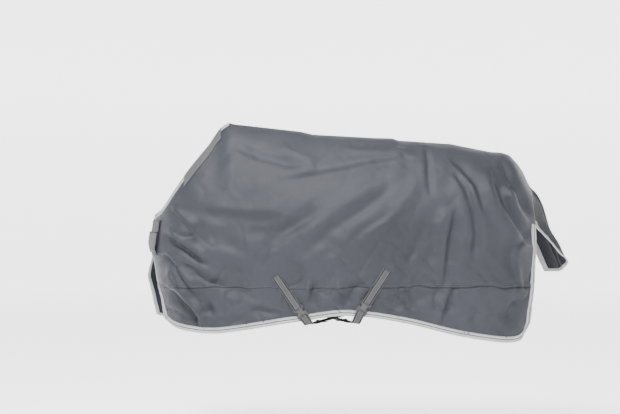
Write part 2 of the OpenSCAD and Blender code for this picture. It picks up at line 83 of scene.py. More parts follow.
# Camera, lights and backdrop

camera = {"place": (0.376, -6.0, -0.395), "lens": 74.2, "sensor": 36}
lights = {
    "key": {"place": (-0.5, -2.5, 3.3), "aim": (0.5, 0, -0.3), "size": 1.4, "power": 520},
    "fill": {"place": (2.2, -5.2, 0.0), "aim": (0.7, 0, -0.5), "size": 3.0, "power": 20},
    "top": {"place": (0.9, 0.6, 3.2), "aim": (0.6, 0, -0.4), "size": 2.6, "power": 40},
}
backdrop = {"floor": -1.5, "flat": 12.0, "radius": 3.0, "top": 7.0, "around": 96, "centre": (0.6, 0),
            "bends": 16, "tone": 0.93, "rough": 0.9, "glow": 1.7}
skyLight = 0.42


def aim(thing, place, target):
    thing.location = place
    thing.rotation_euler = (Vector(target) - Vector(place)).to_track_quat("-Z", "Y").to_euler()
    scene.collection.objects.link(thing)


def makeStage():
    lens = bpy.data.cameras.new("camera")
    lens.lens = camera["lens"]
    lens.sensor_width = camera["sensor"]
    eye = bpy.data.objects.new("camera", lens)
    x, y, z = camera["place"]
    aim(eye, camera["place"], (x, y + 1, z))
    scene.camera = eye
    for name, f in lights.items():
        lamp = bpy.data.lights.new(name, "AREA")
        lamp.shape = "DISK"
        lamp.size = f["size"]
        lamp.energy = f["power"]
        aim(bpy.data.objects.new(name, lamp), f["place"], f["aim"])
    world = bpy.data.worlds.new("sky")
    world.use_nodes = True
    world.node_tree.nodes["Background"].inputs["Color"].default_value = (1, 1, 1, 1)
    world.node_tree.nodes["Background"].inputs["Strength"].default_value = skyLight
    scene.world = world
    b = backdrop  # a shallow round bowl, so every view has the same pale surroundings
    bend = [(b["flat"] + b["radius"] * math.sin(a), b["floor"] + b["radius"] * (1 - math.cos(a)))
            for a in np.linspace(0, math.pi / 2, b["bends"])]
    line = [(0.01, b["floor"])] + bend + [(b["flat"] + b["radius"], b["top"])]
    turns = [2 * math.pi * k / b["around"] for k in range(b["around"])]
    cx, cy = b["centre"]
    points = [(cx + r * math.cos(t), cy + r * math.sin(t), z) for r, z in line for t in turns]
    faces = [(k * b["around"] + q, k * b["around"] + (q + 1) % b["around"],
              (k + 1) * b["around"] + (q + 1) % b["around"], (k + 1) * b["around"] + q)
             for k in range(len(line) - 1) for q in range(b["around"])]
    sheet = bpy.data.meshes.new("backdrop")
    sheet.from_pydata(points, [], faces)
    sheet.polygons.foreach_set("use_smooth", [True] * len(faces))
    floor = bpy.data.objects.new("backdrop", sheet)
    scene.collection.objects.link(floor)
    paint = bpy.data.materials.new("studioWhite")
    paint.use_nodes = True
    looks = {"Base Color": (b["tone"], b["tone"], b["tone"], 1), "Roughness": b["rough"],
             "Emission Color": (1, 1, 1, 1), "Emission Strength": b["glow"]}
    for label, value in looks.items():
        paint.node_tree.nodes["Principled BSDF"].inputs[label].default_value = value
    sheet.materials.append(paint)


makeStage()
print("stage ready")

# Shader groups


def addNode(tree, kind, **settings):
    node = tree.nodes.new(kind)
    for name, value in settings.items():
        if name in node.inputs:
            node.inputs[name].default_value = value
        else:
            setattr(node, name, value)
    return node


def mathNode(tree, operation, a, b=None):
    node = addNode(tree, "ShaderNodeMath", operation=operation)
    for k, value in enumerate((a, b)):
        if value is None:
            continue
        if isinstance(value, (int, float)):
            node.inputs[k].default_value = value
        else:
            tree.links.new(value, node.inputs[k])
    return node.outputs[0]


def newGroup(name, inputs, outputs):
    tree = bpy.data.node_groups.new(name, "ShaderNodeTree")
    for label, kind, value in inputs:
        socket = tree.interface.new_socket(label, in_out="INPUT", socket_type=kind)
        if value is not None:
            socket.default_value = value
    for label, kind in outputs:
        tree.interface.new_socket(label, in_out="OUTPUT", socket_type=kind)
    return tree, tree.nodes.new("NodeGroupInput").outputs, tree.nodes.new("NodeGroupOutput").inputs


def weaveGroup():  # crossing threads with a heavier ripstop thread at every square
    tree, given, put = newGroup("weave", [
        ("Place", "NodeSocketVector", None), ("Thread", "NodeSocketFloat", 0.0012),
        ("Square", "NodeSocketFloat", 0.007), ("Ripstop", "NodeSocketFloat", 0.5)],
        [("Height", "NodeSocketFloat"), ("Square Line", "NodeSocketFloat")])
    split = addNode(tree, "ShaderNodeSeparateXYZ")
    tree.links.new(given["Place"], split.inputs[0])
    waves, lines = [], []
    for axis in ("X", "Y"):
        turns = mathNode(tree, "DIVIDE", split.outputs[axis], given["Thread"])
        waves.append(mathNode(tree, "SINE", mathNode(tree, "MULTIPLY", turns, 2 * math.pi)))
        cell = mathNode(tree, "FRACT", mathNode(tree, "DIVIDE", split.outputs[axis], given["Square"]))
        edge = mathNode(tree, "ABSOLUTE", mathNode(tree, "SUBTRACT", cell, 0.5))
        lines.append(mathNode(tree, "LESS_THAN", edge, 0.09))
    threads = mathNode(tree, "MULTIPLY_ADD", mathNode(tree, "MULTIPLY", waves[0], waves[1]), 0.5)
    threads.node.inputs[2].default_value = 0.5
    square = mathNode(tree, "MAXIMUM", lines[0], lines[1])
    heavy = mathNode(tree, "MULTIPLY", square, given["Ripstop"])
    tree.links.new(mathNode(tree, "ADD", threads, heavy), put["Height"])
    tree.links.new(square, put["Square Line"])
    return tree


def toneAndSkyLightGroup():  # slow tone changes, and painted sky light: a paler colour on what faces up, mottled by fine noise
    tree, given, put = newGroup("toneAndSkyLight", [
        ("Scale", "NodeSocketFloat", 3.0), ("Up", "NodeSocketFloat", 0.3)],
        [("Tone", "NodeSocketFloat"), ("Sky Light", "NodeSocketFloat")])
    place = addNode(tree, "ShaderNodeTexCoord")
    broad = addNode(tree, "ShaderNodeTexNoise", Detail=4.0, Roughness=0.55)
    fine = addNode(tree, "ShaderNodeTexNoise", Scale=140.0, Detail=3.0)
    tree.links.new(place.outputs["Object"], broad.inputs["Vector"])
    tree.links.new(place.outputs["Object"], fine.inputs["Vector"])
    tree.links.new(given["Scale"], broad.inputs["Scale"])
    face = addNode(tree, "ShaderNodeNewGeometry")
    split = addNode(tree, "ShaderNodeSeparateXYZ")
    tree.links.new(face.outputs["Normal"], split.inputs[0])
    # painted sky light: the share grows as the surface faces up
    upward = mathNode(tree, "MULTIPLY", mathNode(tree, "MAXIMUM", split.outputs["Z"], 0.0), given["Up"])
    tree.links.new(mathNode(tree, "MULTIPLY", upward, fine.outputs["Fac"]), put["Sky Light"])
    tone = mathNode(tree, "MULTIPLY_ADD", fine.outputs["Fac"], 0.25)
    tree.links.new(broad.outputs["Fac"], tone.node.inputs[2])
    tree.links.new(tone, put["Tone"])
    return tree


def tapeGroup():  # ribs across a tape, and stripes and stitches along it, from 0 to 1 across
    tree, given, put = newGroup("tapeRibs", [
        ("Place", "NodeSocketVector", None), ("Rib", "NodeSocketFloat", 0.0018),
        ("Stripe At", "NodeSocketFloat", 0.12), ("Stripe Width", "NodeSocketFloat", 0.05),
        ("Stitch At", "NodeSocketFloat", 0.3), ("Stitch Length", "NodeSocketFloat", 0.005)],
        [("Height", "NodeSocketFloat"), ("Stripe", "NodeSocketFloat"), ("Stitch", "NodeSocketFloat")])
    split = addNode(tree, "ShaderNodeSeparateXYZ")
    tree.links.new(given["Place"], split.inputs[0])
    ribs = mathNode(tree, "SINE", mathNode(tree, "MULTIPLY",
                    mathNode(tree, "DIVIDE", split.outputs["X"], given["Rib"]), 2 * math.pi))
    fromEdge = mathNode(tree, "SUBTRACT", 0.5, mathNode(
        tree, "ABSOLUTE", mathNode(tree, "SUBTRACT", split.outputs["Y"], 0.5)))

    def band(at, width):
        gap = mathNode(tree, "ABSOLUTE", mathNode(tree, "SUBTRACT", fromEdge, at))
        return mathNode(tree, "LESS_THAN", gap, width)
    stripe = band(given["Stripe At"], given["Stripe Width"])
    dash = mathNode(tree, "LESS_THAN", mathNode(tree, "FRACT", mathNode(
        tree, "DIVIDE", split.outputs["X"], given["Stitch Length"])), 0.68)
    stitch = mathNode(tree, "MULTIPLY", band(given["Stitch At"], 0.022), dash)
    lifted = mathNode(tree, "MULTIPLY_ADD", stitch, 1.4)
    tree.links.new(mathNode(tree, "MULTIPLY", ribs, 0.3), lifted.node.inputs[2])
    tree.links.new(lifted, put["Height"])
    tree.links.new(stripe, put["Stripe"])
    tree.links.new(stitch, put["Stitch"])
    return tree


def grainGroup():  # moulding grain and scuffed edges of hard pieces
    tree, given, put = newGroup("grain", [
        ("Size", "NodeSocketFloat", 900.0), ("Wear", "NodeSocketFloat", 0.5)],
        [("Height", "NodeSocketFloat"), ("Edge", "NodeSocketFloat"), ("Patch", "NodeSocketFloat")])
    place = addNode(tree, "ShaderNodeTexCoord")
    grain = addNode(tree, "ShaderNodeTexNoise", Detail=2.0)
    patch = addNode(tree, "ShaderNodeTexNoise", Scale=60.0, Detail=3.0)
    for noise in (grain, patch):
        tree.links.new(place.outputs["Object"], noise.inputs["Vector"])
    tree.links.new(given["Size"], grain.inputs["Scale"])
    face = addNode(tree, "ShaderNodeNewGeometry")
    edge = mathNode(tree, "MULTIPLY", mathNode(tree, "SUBTRACT", face.outputs["Pointiness"], 0.52), 9.0)
    worn = mathNode(tree, "MULTIPLY", mathNode(tree, "MULTIPLY", edge, patch.outputs["Fac"]), given["Wear"])
    clear = addNode(tree, "ShaderNodeClamp")
    tree.links.new(worn, clear.inputs[0])
    tree.links.new(grain.outputs["Fac"], put["Height"])
    tree.links.new(clear.outputs[0], put["Edge"])
    tree.links.new(patch.outputs["Fac"], put["Patch"])
    return tree


groups = {"weave": weaveGroup(), "toneAndSkyLight": toneAndSkyLightGroup(), "tape": tapeGroup(), "grain": grainGroup()}


class Finish:  # one material with its Principled shader, and short ways to wire it
    def __init__(self, name, **sockets):
        self.material = bpy.data.materials.new(name)
        self.material.use_nodes = True
        self.tree = self.material.node_tree
        self.shader = self.tree.nodes["Principled BSDF"]
        for label, value in sockets.items():
            self.shader.inputs[label].default_value = value

    def use(self, group, **values):
        node = addNode(self.tree, "ShaderNodeGroup", node_tree=groups[group])
        for label, value in values.items():
            node.inputs[label].default_value = value
        if "Place" in node.inputs:
            self.tree.links.new(addNode(self.tree, "ShaderNodeUVMap").outputs[0], node.inputs["Place"])
        return node.outputs

    def mix(self, share, first, second):
        node = addNode(self.tree, "ShaderNodeMix", data_type="RGBA")
        for k, value in ((6, first), (7, second)):
            if isinstance(value, tuple):
                node.inputs[k].default_value = value
            else:
                self.tree.links.new(value, node.inputs[k])
        self.tree.links.new(share, node.inputs[0])
        return node.outputs[2]

    def colour(self, socket):
        self.tree.links.new(socket, self.shader.inputs["Base Color"])

    def rough(self, share, low, high):
        node = addNode(self.tree, "ShaderNodeMapRange")
        node.inputs["To Min"].default_value = low
        node.inputs["To Max"].default_value = high
        self.tree.links.new(share, node.inputs["Value"])
        self.tree.links.new(node.outputs[0], self.shader.inputs["Roughness"])

    def bump(self, height, distance, strength=1.0):
        node = addNode(self.tree, "ShaderNodeBump", Distance=distance, Strength=strength)
        self.tree.links.new(height, node.inputs["Height"])
        self.tree.links.new(node.outputs[0], self.shader.inputs["Normal"])


def stretch(finish, socket, low, high):  # a mask that runs from 0 at low to 1 at high
    node = addNode(finish.tree, "ShaderNodeMapRange")
    node.inputs["From Min"].default_value = low
    node.inputs["From Max"].default_value = high
    finish.tree.links.new(socket, node.inputs["Value"])
    return node.outputs[0]


# the last tone is the paler colour of the painted sky light on what faces up
clothTones = {"dark": srgb(30, 32, 38), "light": srgb(42, 44, 51), "line": srgb(25, 26, 31),
              "toneAndSkyLight": srgb(58, 59, 61)}


def clothFinish(name, tones, sheen, rough):
    f = Finish(name, **{"Sheen Weight": sheen, "Sheen Roughness": 0.4, "Specular IOR Level": 0.22})
    weave = f.use("weave", Thread=0.0013, Square=0.0065, Ripstop=0.6)
    toneAndSkyLight = f.use("toneAndSkyLight", Scale=2.6, Up=0.35)
    tone = f.mix(stretch(f, toneAndSkyLight["Tone"], 0.42, 0.85), tones["dark"], tones["light"])
    lined = f.mix(mathNode(f.tree, "MULTIPLY", weave["Square Line"], 0.35), tone, tones["line"])
    # painted sky light: the paler tone is laid on what faces up
    f.colour(f.mix(toneAndSkyLight["Sky Light"], lined, tones["toneAndSkyLight"]))
    f.rough(toneAndSkyLight["Tone"], rough - 0.08, rough + 0.08)
    f.bump(weave["Height"], 0.00035, 0.55)
    return f.material


def tapeFinish(name, base, edge, stripe, stitch, values, rough=0.72):
    f = Finish(name, **{"Sheen Weight": 0.05, "Sheen Roughness": 0.5, "Specular IOR Level": 0.2})
    tape = f.use("tape", **values)
    toneAndSkyLight = f.use("toneAndSkyLight", Scale=9.0, Up=0.2)
    ground = f.mix(stretch(f, toneAndSkyLight["Tone"], 0.4, 0.85), base, edge)
    striped = f.mix(tape["Stripe"], ground, stripe)
    f.colour(f.mix(tape["Stitch"], striped, stitch))
    f.rough(toneAndSkyLight["Tone"], rough - 0.07, rough + 0.07)
    f.bump(tape["Height"], 0.0004, 0.7)
    return f.material


def plasticFinish(name, base, worn, rough):
    f = Finish(name, **{"Specular IOR Level": 0.45, "Coat Weight": 0.08, "Coat Roughness": 0.35})
    grain = f.use("grain", Size=1100.0, Wear=0.7)
    f.colour(f.mix(grain["Edge"], base, worn))
    f.rough(grain["Patch"], rough - 0.08, rough + 0.1)
    f.bump(grain["Height"], 0.00012, 0.5)
    return f.material


def metalFinish(name, base, dull):
    f = Finish(name, **{"Metallic": 1.0})
    grain = f.use("grain", Size=420.0, Wear=0.4)
    f.colour(f.mix(stretch(f, grain["Patch"], 0.35, 0.75), base, dull))
    f.rough(grain["Patch"], 0.2, 0.42)
    f.bump(grain["Height"], 0.00006, 0.4)
    return f.material


finishes = {
    "cloth": clothFinish("rugCloth", clothTones, 0.02, 0.44),
    # in each tone set below, the last tone is its painted sky light colour on what faces up
    "lining": clothFinish("rugLining", {"dark": srgb(16, 18, 25), "light": srgb(24, 27, 36),
                                        "line": srgb(14, 16, 22), "toneAndSkyLight": srgb(32, 34, 40)}, 0.03, 0.62),
    # tail flap: the rug's cloth painted darker and without sheen, as painted shade for the flap hanging in
    # shadow under the dock
    "tailCloth": clothFinish("tailFlapClothPaintedShade", {"dark": srgb(15, 16, 20), "light": srgb(22, 23, 28),
                                               "line": srgb(12, 13, 16), "toneAndSkyLight": srgb(32, 33, 36)},
                             0.0, 0.62),
    "insert": clothFinish("stretchInsert", {"dark": srgb(30, 30, 33), "light": srgb(38, 37, 41),
                                            "line": srgb(28, 28, 31), "toneAndSkyLight": srgb(48, 48, 48)}, 0.04, 0.5),
    "tape": tapeFinish("edgeTape", srgb(134, 134, 136), srgb(152, 152, 153), srgb(38, 38, 42),
                       srgb(120, 120, 122), {"Rib": 0.0016, "Stripe At": 0.5, "Stripe Width": 0.075,
                                             "Stitch At": 0.12, "Stitch Length": 0.0042}),
    "band": tapeFinish("neckBand", srgb(60, 60, 62), srgb(69, 69, 70), srgb(56, 56, 58),
                       srgb(96, 96, 99), {"Rib": 0.0012, "Stripe At": 0.0, "Stripe Width": 0.012,
                                          "Stitch At": 0.07, "Stitch Length": 0.004}),
    "webbing": tapeFinish("strapWebbing", srgb(52, 53, 54), srgb(60, 60, 61), srgb(8, 8, 10),
                          srgb(86, 86, 88), {"Rib": 0.0022, "Stripe At": 0.15, "Stripe Width": 0.05,
                                             "Stitch At": 0.27, "Stitch Length": 0.005}),
    "tab": tapeFinish("pullTabTape", srgb(44, 66, 50), srgb(54, 80, 60), srgb(28, 92, 52),
                      srgb(90, 120, 96), {"Rib": 0.0014, "Stripe At": 0.08, "Stripe Width": 0.07,
                                          "Stitch At": 0.25, "Stitch Length": 0.004}),
    "plastic": plasticFinish("blackPlastic", srgb(30, 30, 31), srgb(70, 70, 72), 0.42),
    "metal": metalFinish("platedSteel", srgb(196, 196, 198), srgb(150, 150, 154)),
    "thread": plasticFinish("stitchThread", srgb(58, 59, 66), srgb(80, 81, 88), 0.8),
}
print("materials ready")

# The draped shape: lines down one side from the front edge to the rear edge, as shares of the back's
# length, half the width and the drop, then the angle where the curve starts and how flat it is on top

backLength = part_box("off_side_panel")[1].x / 1.007
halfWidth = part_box("off_side_panel")[1].y
dropLength = -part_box("off_lower_panel")[0].z / 1.0036
lines = np.array([
    [-0.250, 0.042, -0.430, -0.264, 0.042, -0.560, -0.214, 0.240, -0.912, 70, 1.00],
    [-0.214, 0.254, -0.392, -0.230, 0.388, -0.600, -0.179, 0.448, -0.942, 60, 1.00],
    [-0.154, 0.373, -0.270, -0.163, 0.642, -0.630, -0.118, 0.693, -0.958, 52, 1.00],
    [-0.075, 0.263, -0.125, -0.075, 0.782, -0.660, -0.029, 0.845, -0.961, 40, 1.10],
    [0.000, 0.000, 0.000, 0.029, 0.851, -0.690, 0.079, 0.904, -0.940, 0, 1.35],
    [0.164, 0.000, -0.032, 0.175, 0.949, -0.640, 0.229, 0.940, -0.906, 0, 1.15],
    [0.343, 0.000, -0.060, 0.350, 1.000, -0.600, 0.386, 0.955, -0.879, 0, 1.00],
    [0.543, 0.000, -0.072, 0.546, 0.985, -0.560, 0.564, 0.955, -0.910, 0, 0.95],
    [0.729, 0.000, -0.098, 0.729, 0.940, -0.520, 0.736, 0.940, -0.968, 0, 0.90],
    [0.857, 0.000, -0.131, 0.857, 0.896, -0.510, 0.868, 0.896, -0.998, 0, 0.90],
    [0.936, 0.000, -0.155, 0.941, 0.806, -0.540, 0.936, 0.791, -1.000, 0, 0.95],
    [1.000, 0.000, -0.288, 1.007, 0.552, -0.540, 0.980, 0.663, -0.975, 0, 1.00]])
lines[:, 0:9] *= np.tile([backLength, halfWidth, dropLength], 3)
lastLine = len(lines) - 1
withersLine = 4
seamHeight = -0.755 * dropLength


def lineAt(u):
    i = np.clip(np.floor(u).astype(int), 0, lastLine - 1)
    t = (u - i)[..., None]
    a, b = lines[np.maximum(i - 1, 0)], lines[i]
    c, d = lines[i + 1], lines[np.minimum(i + 2, lastLine)]
    s = between(a, b, c, d, t)
    joined = u >= withersLine
    s[..., 1] = np.where(joined, 0, s[..., 1])
    s[..., 9] = np.where(joined, 0, np.maximum(0, s[..., 9]))
    return s


def drape(u, v):  # v is 0 on the top edge, 1 at the widest, 2 on the long seam, 3 on the hem
    s = lineAt(u)
    top, wide, hem = s[..., 0:3], s[..., 3:6], s[..., 6:9]
    start = np.radians(s[..., 9])
    a = start + (math.pi / 2 - start) * np.clip(v, 0, 1)
    across = np.maximum(0, (np.sin(a) - np.sin(start)) / (1 - np.sin(start))) ** s[..., 10]
    down = (np.cos(start) - np.cos(a)) / np.cos(start)
    share = np.stack([down, across, down], -1)
    seam = (seamHeight - wide[..., 2]) / (hem[..., 2] - wide[..., 2])
    k = np.where(v <= 2, (np.clip(v, 1, 2) - 1) * seam, seam + (v - 2) * (1 - seam))
    fall = np.stack([k, k ** 1.5, k], -1)
    return np.where((v <= 1)[..., None], top + (wide - top) * share, wide + (hem - wide) * fall)


def outward(u, v):
    e = 0.02
    du = drape(np.minimum(u + e, lastLine), v) - drape(np.maximum(u - e, 0), v)
    dv = drape(u, np.minimum(v + e, 3)) - drape(u, np.maximum(v - e, 0))
    n = np.cross(du, dv)
    n[..., 1] = np.where((u >= withersLine) & (v <= 0), 0, n[..., 1])
    return unit(n)


def heightAt(u, z):  # the v that lies at height z
    s = lineAt(u)
    start = np.radians(s[..., 9])
    share = np.clip((z - s[..., 2]) / (s[..., 5] - s[..., 2]), 0, 1)
    upper = (np.arccos(np.cos(start) * (1 - share)) - start) / (math.pi / 2 - start)
    middle = 1 + (s[..., 5] - z) / (s[..., 5] - seamHeight)
    lower = 2 + (seamHeight - z) / (seamHeight - s[..., 8])
    return np.where(z > s[..., 5], upper, np.where(z > seamHeight, middle, lower))


def findPlace(x, z):  # the u, v at a length and a height
    low, high = np.zeros_like(x), np.full_like(x, lastLine)
    for _ in range(26):
        middle = (low + high) / 2
        short = drape(middle, heightAt(middle, z))[..., 0] < x
        low, high = np.where(short, middle, low), np.where(short, high, middle)
    return low, heightAt(low, z)


# Folds. Each is a route in x and z, with its depth and width. What lies to the right of the route,
# going along it, is the side that falls in. A ridge stands out and a valley sinks evenly.

nearFolds = [
    ("pleat", 0.024, 0.017, [(-.297, -.520), (-.256, -.535), (-.218, -.564), (-.152, -.600), (-.091, -.644)]),
    ("pleat", 0.017, 0.013, [(-.302, -.597), (-.242, -.647), (-.195, -.714), (-.149, -.777)]),
    ("pleat", 0.026, 0.020, [(-.292, -.752), (-.232, -.783), (-.167, -.845), (-.140, -.895), (-.133, -.940)]),
    ("valley", 0.011, 0.020, [(-.236, -.645), (-.148, -.680), (-.068, -.726), (.02, -.75)]),
    ("valley", 0.010, 0.018, [(-.19, -.778), (-.125, -.822), (-.06, -.876)]),
    ("pleat", 0.011, 0.011, [(-.263, -.404), (-.199, -.455), (-.158, -.497)]),
    ("pleat", 0.008, 0.013, [(-.230, -.505), (-.190, -.523), (-.150, -.513)]),
    ("ridge", 0.012, 0.024, [(-.27, -.66), (-.20, -.75), (-.165, -.80)]),
    ("ridge", 0.010, 0.030, [(-.24, -.60), (-.16, -.645), (-.08, -.70), (.03, -.74)]),
    ("ridge", 0.007, 0.040, [(-.12, -.55), (0, -.60), (.12, -.66)]),
    ("valley", 0.007, 0.035, [(-.20, -.50), (-.08, -.54), (.05, -.58), (.16, -.65)]),
    ("valley", 0.006, 0.030, [(-.26, -.385), (-.12, -.42), (.05, -.44), (.22, -.47)]),
    ("ridge", 0.005, 0.030, [(-.12, -.395), (.05, -.415), (.25, -.405)]),
    ("valley", 0.006, 0.030, [(.0, -.49), (.18, -.51), (.34, -.47), (.45, -.39)]),
    ("ridge", 0.006, 0.026, [(.239, -.125), (.32, -.16), (.399, -.19)]),
    ("valley", 0.007, 0.022, [(.02, -.105), (.16, -.165), (.32, -.205)]),
    ("pleat", 0.008, 0.020, [(.241, -.270), (.43, -.238), (.619, -.198), (.808, -.168)]),
    ("ridge", 0.006, 0.018, [(.545, -.129), (.70, -.134), (.848, -.143)]),
    ("valley", 0.007, 0.020, [(.56, -.115), (.66, -.114), (.78, -.112)]),
    ("valley", 0.008, 0.060, [(.02, -.84), (.14, -.76), (.24, -.62), (.36, -.50)]),
    ("valley", 0.010, 0.030, [(.10, -.70), (.17, -.59), (.26, -.50), (.38, -.42)]),
    ("ridge", 0.007, 0.040, [(.18, -.70), (.28, -.56), (.44, -.44), (.60, -.33)]),
    ("valley", 0.008, 0.026, [(.34, -.62), (.46, -.50), (.62, -.40), (.76, -.29)]),
    ("valley", 0.005, 0.016, [(.50, -.60), (.61, -.50), (.74, -.42)]),
    ("ridge", 0.007, 0.030, [(.42, -.66), (.56, -.56), (.70, -.47), (.84, -.34)]),
    ("valley", 0.006, 0.020, [(.80, -.66), (.86, -.54), (.90, -.44)]),
    ("valley", 0.006, 0.012, [(.907, -.12), (.911, -.18), (.910, -.25), (.914, -.34)]),
    ("pleat", 0.010, 0.013, [(1.146, -.42), (1.112, -.300), (1.060, -.225), (1.02, -.191)]),
    ("pleat", 0.012, 0.020, [(1.098, -.62), (1.108, -.516), (1.098, -.422), (1.07, -.330), (1.03, -.25)]),
    ("pleat", 0.012, 0.011, [(.966, -.74), (.979, -.66), (.993, -.531), (1.02, -.409)]),
    ("pleat", 0.011, 0.015, [(.946, -.935), (.985, -.82), (1.022, -.735)]),
    ("ridge", 0.010, 0.028, [(.93, -.60), (.95, -.50), (.99, -.40)]),
    ("ridge", 0.008, 0.030, [(1.05, -.62), (1.06, -.50), (1.04, -.38)]),
    ("ridge", 0.010, 0.035, [(1.14, -.68), (1.16, -.52), (1.12, -.38), (1.08, -.27)]),
    ("valley", 0.008, 0.024, [(.90, -.66), (.93, -.57), (.93, -.48)]),
    ("pleat", 0.034, 0.034, [(1.382, -.570), (1.304, -.480), (1.240, -.376), (1.210, -.30), (1.204, -.235)]),
    ("ridge", 0.016, 0.026, [(1.27, -.30), (1.31, -.40), (1.37, -.49)]),
    ("valley", 0.016, 0.022, [(1.245, -.19), (1.29, -.25), (1.35, -.35), (1.385, -.42)]),
    ("pleat", 0.014, 0.014, [(1.395, -.565), (1.34, -.555), (1.295, -.578), (1.28, -.62), (1.30, -.70),
                             (1.31, -.76)]),
    ("valley", 0.009, 0.030, [(1.34, -.62), (1.33, -.70), (1.35, -.76)]),
    ("valley", 0.010, 0.040, [(1.20, -.95), (1.28, -.87), (1.33, -.79)]),
    ("ridge", 0.008, 0.030, [(1.10, -.80), (1.18, -.88), (1.26, -.96)]),
    ("ridge", 0.007, 0.020, [(1.02, -.985), (1.07, -.91), (1.14, -.90)]),
    ("pleat", 0.013, 0.014, [(.590, -.812), (.618, -.785), (.662, -.755)]),
    ("pleat", 0.010, 0.013, [(.705, -.800), (.77, -.785), (.832, -.757)]),
    ("valley", 0.007, 0.020, [(.72, -.85), (.83, -.82), (.93, -.78)]),
    ("valley", 0.014, 0.040, [(.52, -.84), (.57, -.78), (.60, -.72)]),
    ("ridge", 0.010, 0.035, [(.42, -.85), (.48, -.78), (.50, -.72)]),
    ("pleat", 0.012, 0.013, [(.365, -.825), (.378, -.772), (.398, -.722)]),
    ("valley", 0.010, 0.016, [(.115, -.845), (.19, -.862), (.275, -.878)]),
    ("valley", 0.009, 0.014, [(.21, -.93), (.232, -.905), (.262, -.888)]),
    ("ridge", 0.006, 0.020, [(.0, -.80), (.10, -.83), (.20, -.84)]),
    ("valley", 0.007, 0.016, [(.0, -.955), (.03, -.91), (.09, -.88)]),
    ("valley", 0.006, 0.014, [(-.07, -.96), (-.05, -.92), (-.01, -.89)]),
]
offFolds = [
    ("pleat", 0.020, 0.018, [(-.28, -.63), (-.22, -.66), (-.14, -.72), (-.08, -.78)]),
    ("pleat", 0.018, 0.018, [(-.29, -.76), (-.22, -.80), (-.16, -.86), (-.13, -.94)]),
    ("valley", 0.010, 0.026, [(-.24, -.62), (-.12, -.66), (.02, -.70)]),
    ("pleat", 0.010, 0.012, [(-.255, -.41), (-.20, -.455), (-.155, -.50)]),
    ("ridge", 0.009, 0.030, [(-.16, -.57), (-.04, -.62), (.10, -.68)]),
    ("valley", 0.007, 0.030, [(-.24, -.39), (-.08, -.43), (.12, -.46)]),
    ("pleat", 0.008, 0.020, [(.20, -.26), (.42, -.225), (.66, -.20), (.86, -.175)]),
    ("valley", 0.009, 0.040, [(.06, -.80), (.16, -.66), (.30, -.52)]),
    ("ridge", 0.007, 0.036, [(.22, -.68), (.36, -.53), (.54, -.40)]),
    ("valley", 0.008, 0.026, [(.40, -.64), (.54, -.50), (.72, -.36)]),
    ("ridge", 0.007, 0.030, [(.56, -.62), (.70, -.50), (.86, -.35)]),
    ("pleat", 0.010, 0.015, [(1.13, -.44), (1.09, -.31), (1.03, -.21)]),
    ("pleat", 0.012, 0.018, [(1.06, -.68), (1.08, -.53), (1.05, -.37)]),
    ("ridge", 0.009, 0.032, [(1.13, -.66), (1.15, -.50), (1.11, -.34)]),
    ("pleat", 0.026, 0.030, [(1.37, -.55), (1.29, -.46), (1.23, -.36), (1.20, -.25)]),
    ("ridge", 0.012, 0.026, [(1.26, -.29), (1.31, -.40), (1.36, -.48)]),
    ("pleat", 0.011, 0.015, [(.95, -.93), (.99, -.80), (1.03, -.72)]),
    ("valley", 0.010, 0.036, [(1.18, -.94), (1.26, -.85), (1.32, -.76)]),
    ("valley", 0.012, 0.030, [(.50, -.84), (.56, -.77), (.60, -.70)]),
    ("valley", 0.009, 0.018, [(.12, -.86), (.19, -.86), (.27, -.88)]),
    ("pleat", 0.010, 0.014, [(.80, -.78), (.76, -.80), (.73, -.84)]),
]


pleatShape = {"lip": 0.45, "lipWidth": 1.4, "step": 0.22, "run": 1.9}
foldFade = {"past": 0.12, "over": 0.34}  # how a fold dies away past its ends, as a share of its length


def foldProfile(kind, s, w):
    if kind == "ridge":
        return np.exp(-(s / w) ** 2)
    if kind == "valley":
        return -np.exp(-(s / w) ** 2)
    f = pleatShape
    step = 1 / (1 + np.exp(-np.clip(s / (f["step"] * w), -30, 30)))
    lip = f["lip"] * np.exp(-((s + w) / (f["lipWidth"] * w)) ** 2)
    return lip - step * np.exp(-np.maximum(s, 0) / (f["run"] * w))


def foldHeight(folds, x, z):
    total = np.zeros_like(x)
    for kind, depth, width, route in folds:
        p = np.array(route)
        lengths = np.linalg.norm(np.diff(p, axis=0), axis=1)
        starts = np.concatenate([[0], np.cumsum(lengths)])
        best, side, along = np.full_like(x, 9.0), np.zeros_like(x), np.zeros_like(x)
        for k, length in enumerate(lengths):
            d = (p[k + 1] - p[k]) / length
            t = (x - p[k, 0]) * d[0] + (z - p[k, 1]) * d[1]
            held = np.clip(t, 0, length)
            far = np.hypot(x - p[k, 0] - held * d[0], z - p[k, 1] - held * d[1])
            cross = (x - p[k, 0]) * d[1] - (z - p[k, 1]) * d[0]
            near = far < best
            best = np.where(near, far, best)
            side = np.where(near, np.where(cross >= 0, far, -far), side)
            along = np.where(near, (starts[k] + t) / starts[-1], along)
        f = foldFade
        fade = smooth((along + f["past"]) / f["over"]) * smooth((1 + f["past"] - along) / f["over"])
        total += depth * fade * foldProfile(kind, side, width)
    return total


noiseTable = np.random.default_rng(11).random((64, 64)) * 2 - 1


def noiseAt(x, y):
    i, j = np.floor(x).astype(int), np.floor(y).astype(int)
    s, t = smooth(x - i), smooth(y - j)

    def pick(a, b):
        return noiseTable[(i + a) % 64, (j + b) % 64]
    return (pick(0, 0) * (1 - s) * (1 - t) + pick(1, 0) * s * (1 - t)
            + pick(0, 1) * (1 - s) * t + pick(1, 1) * s * t)


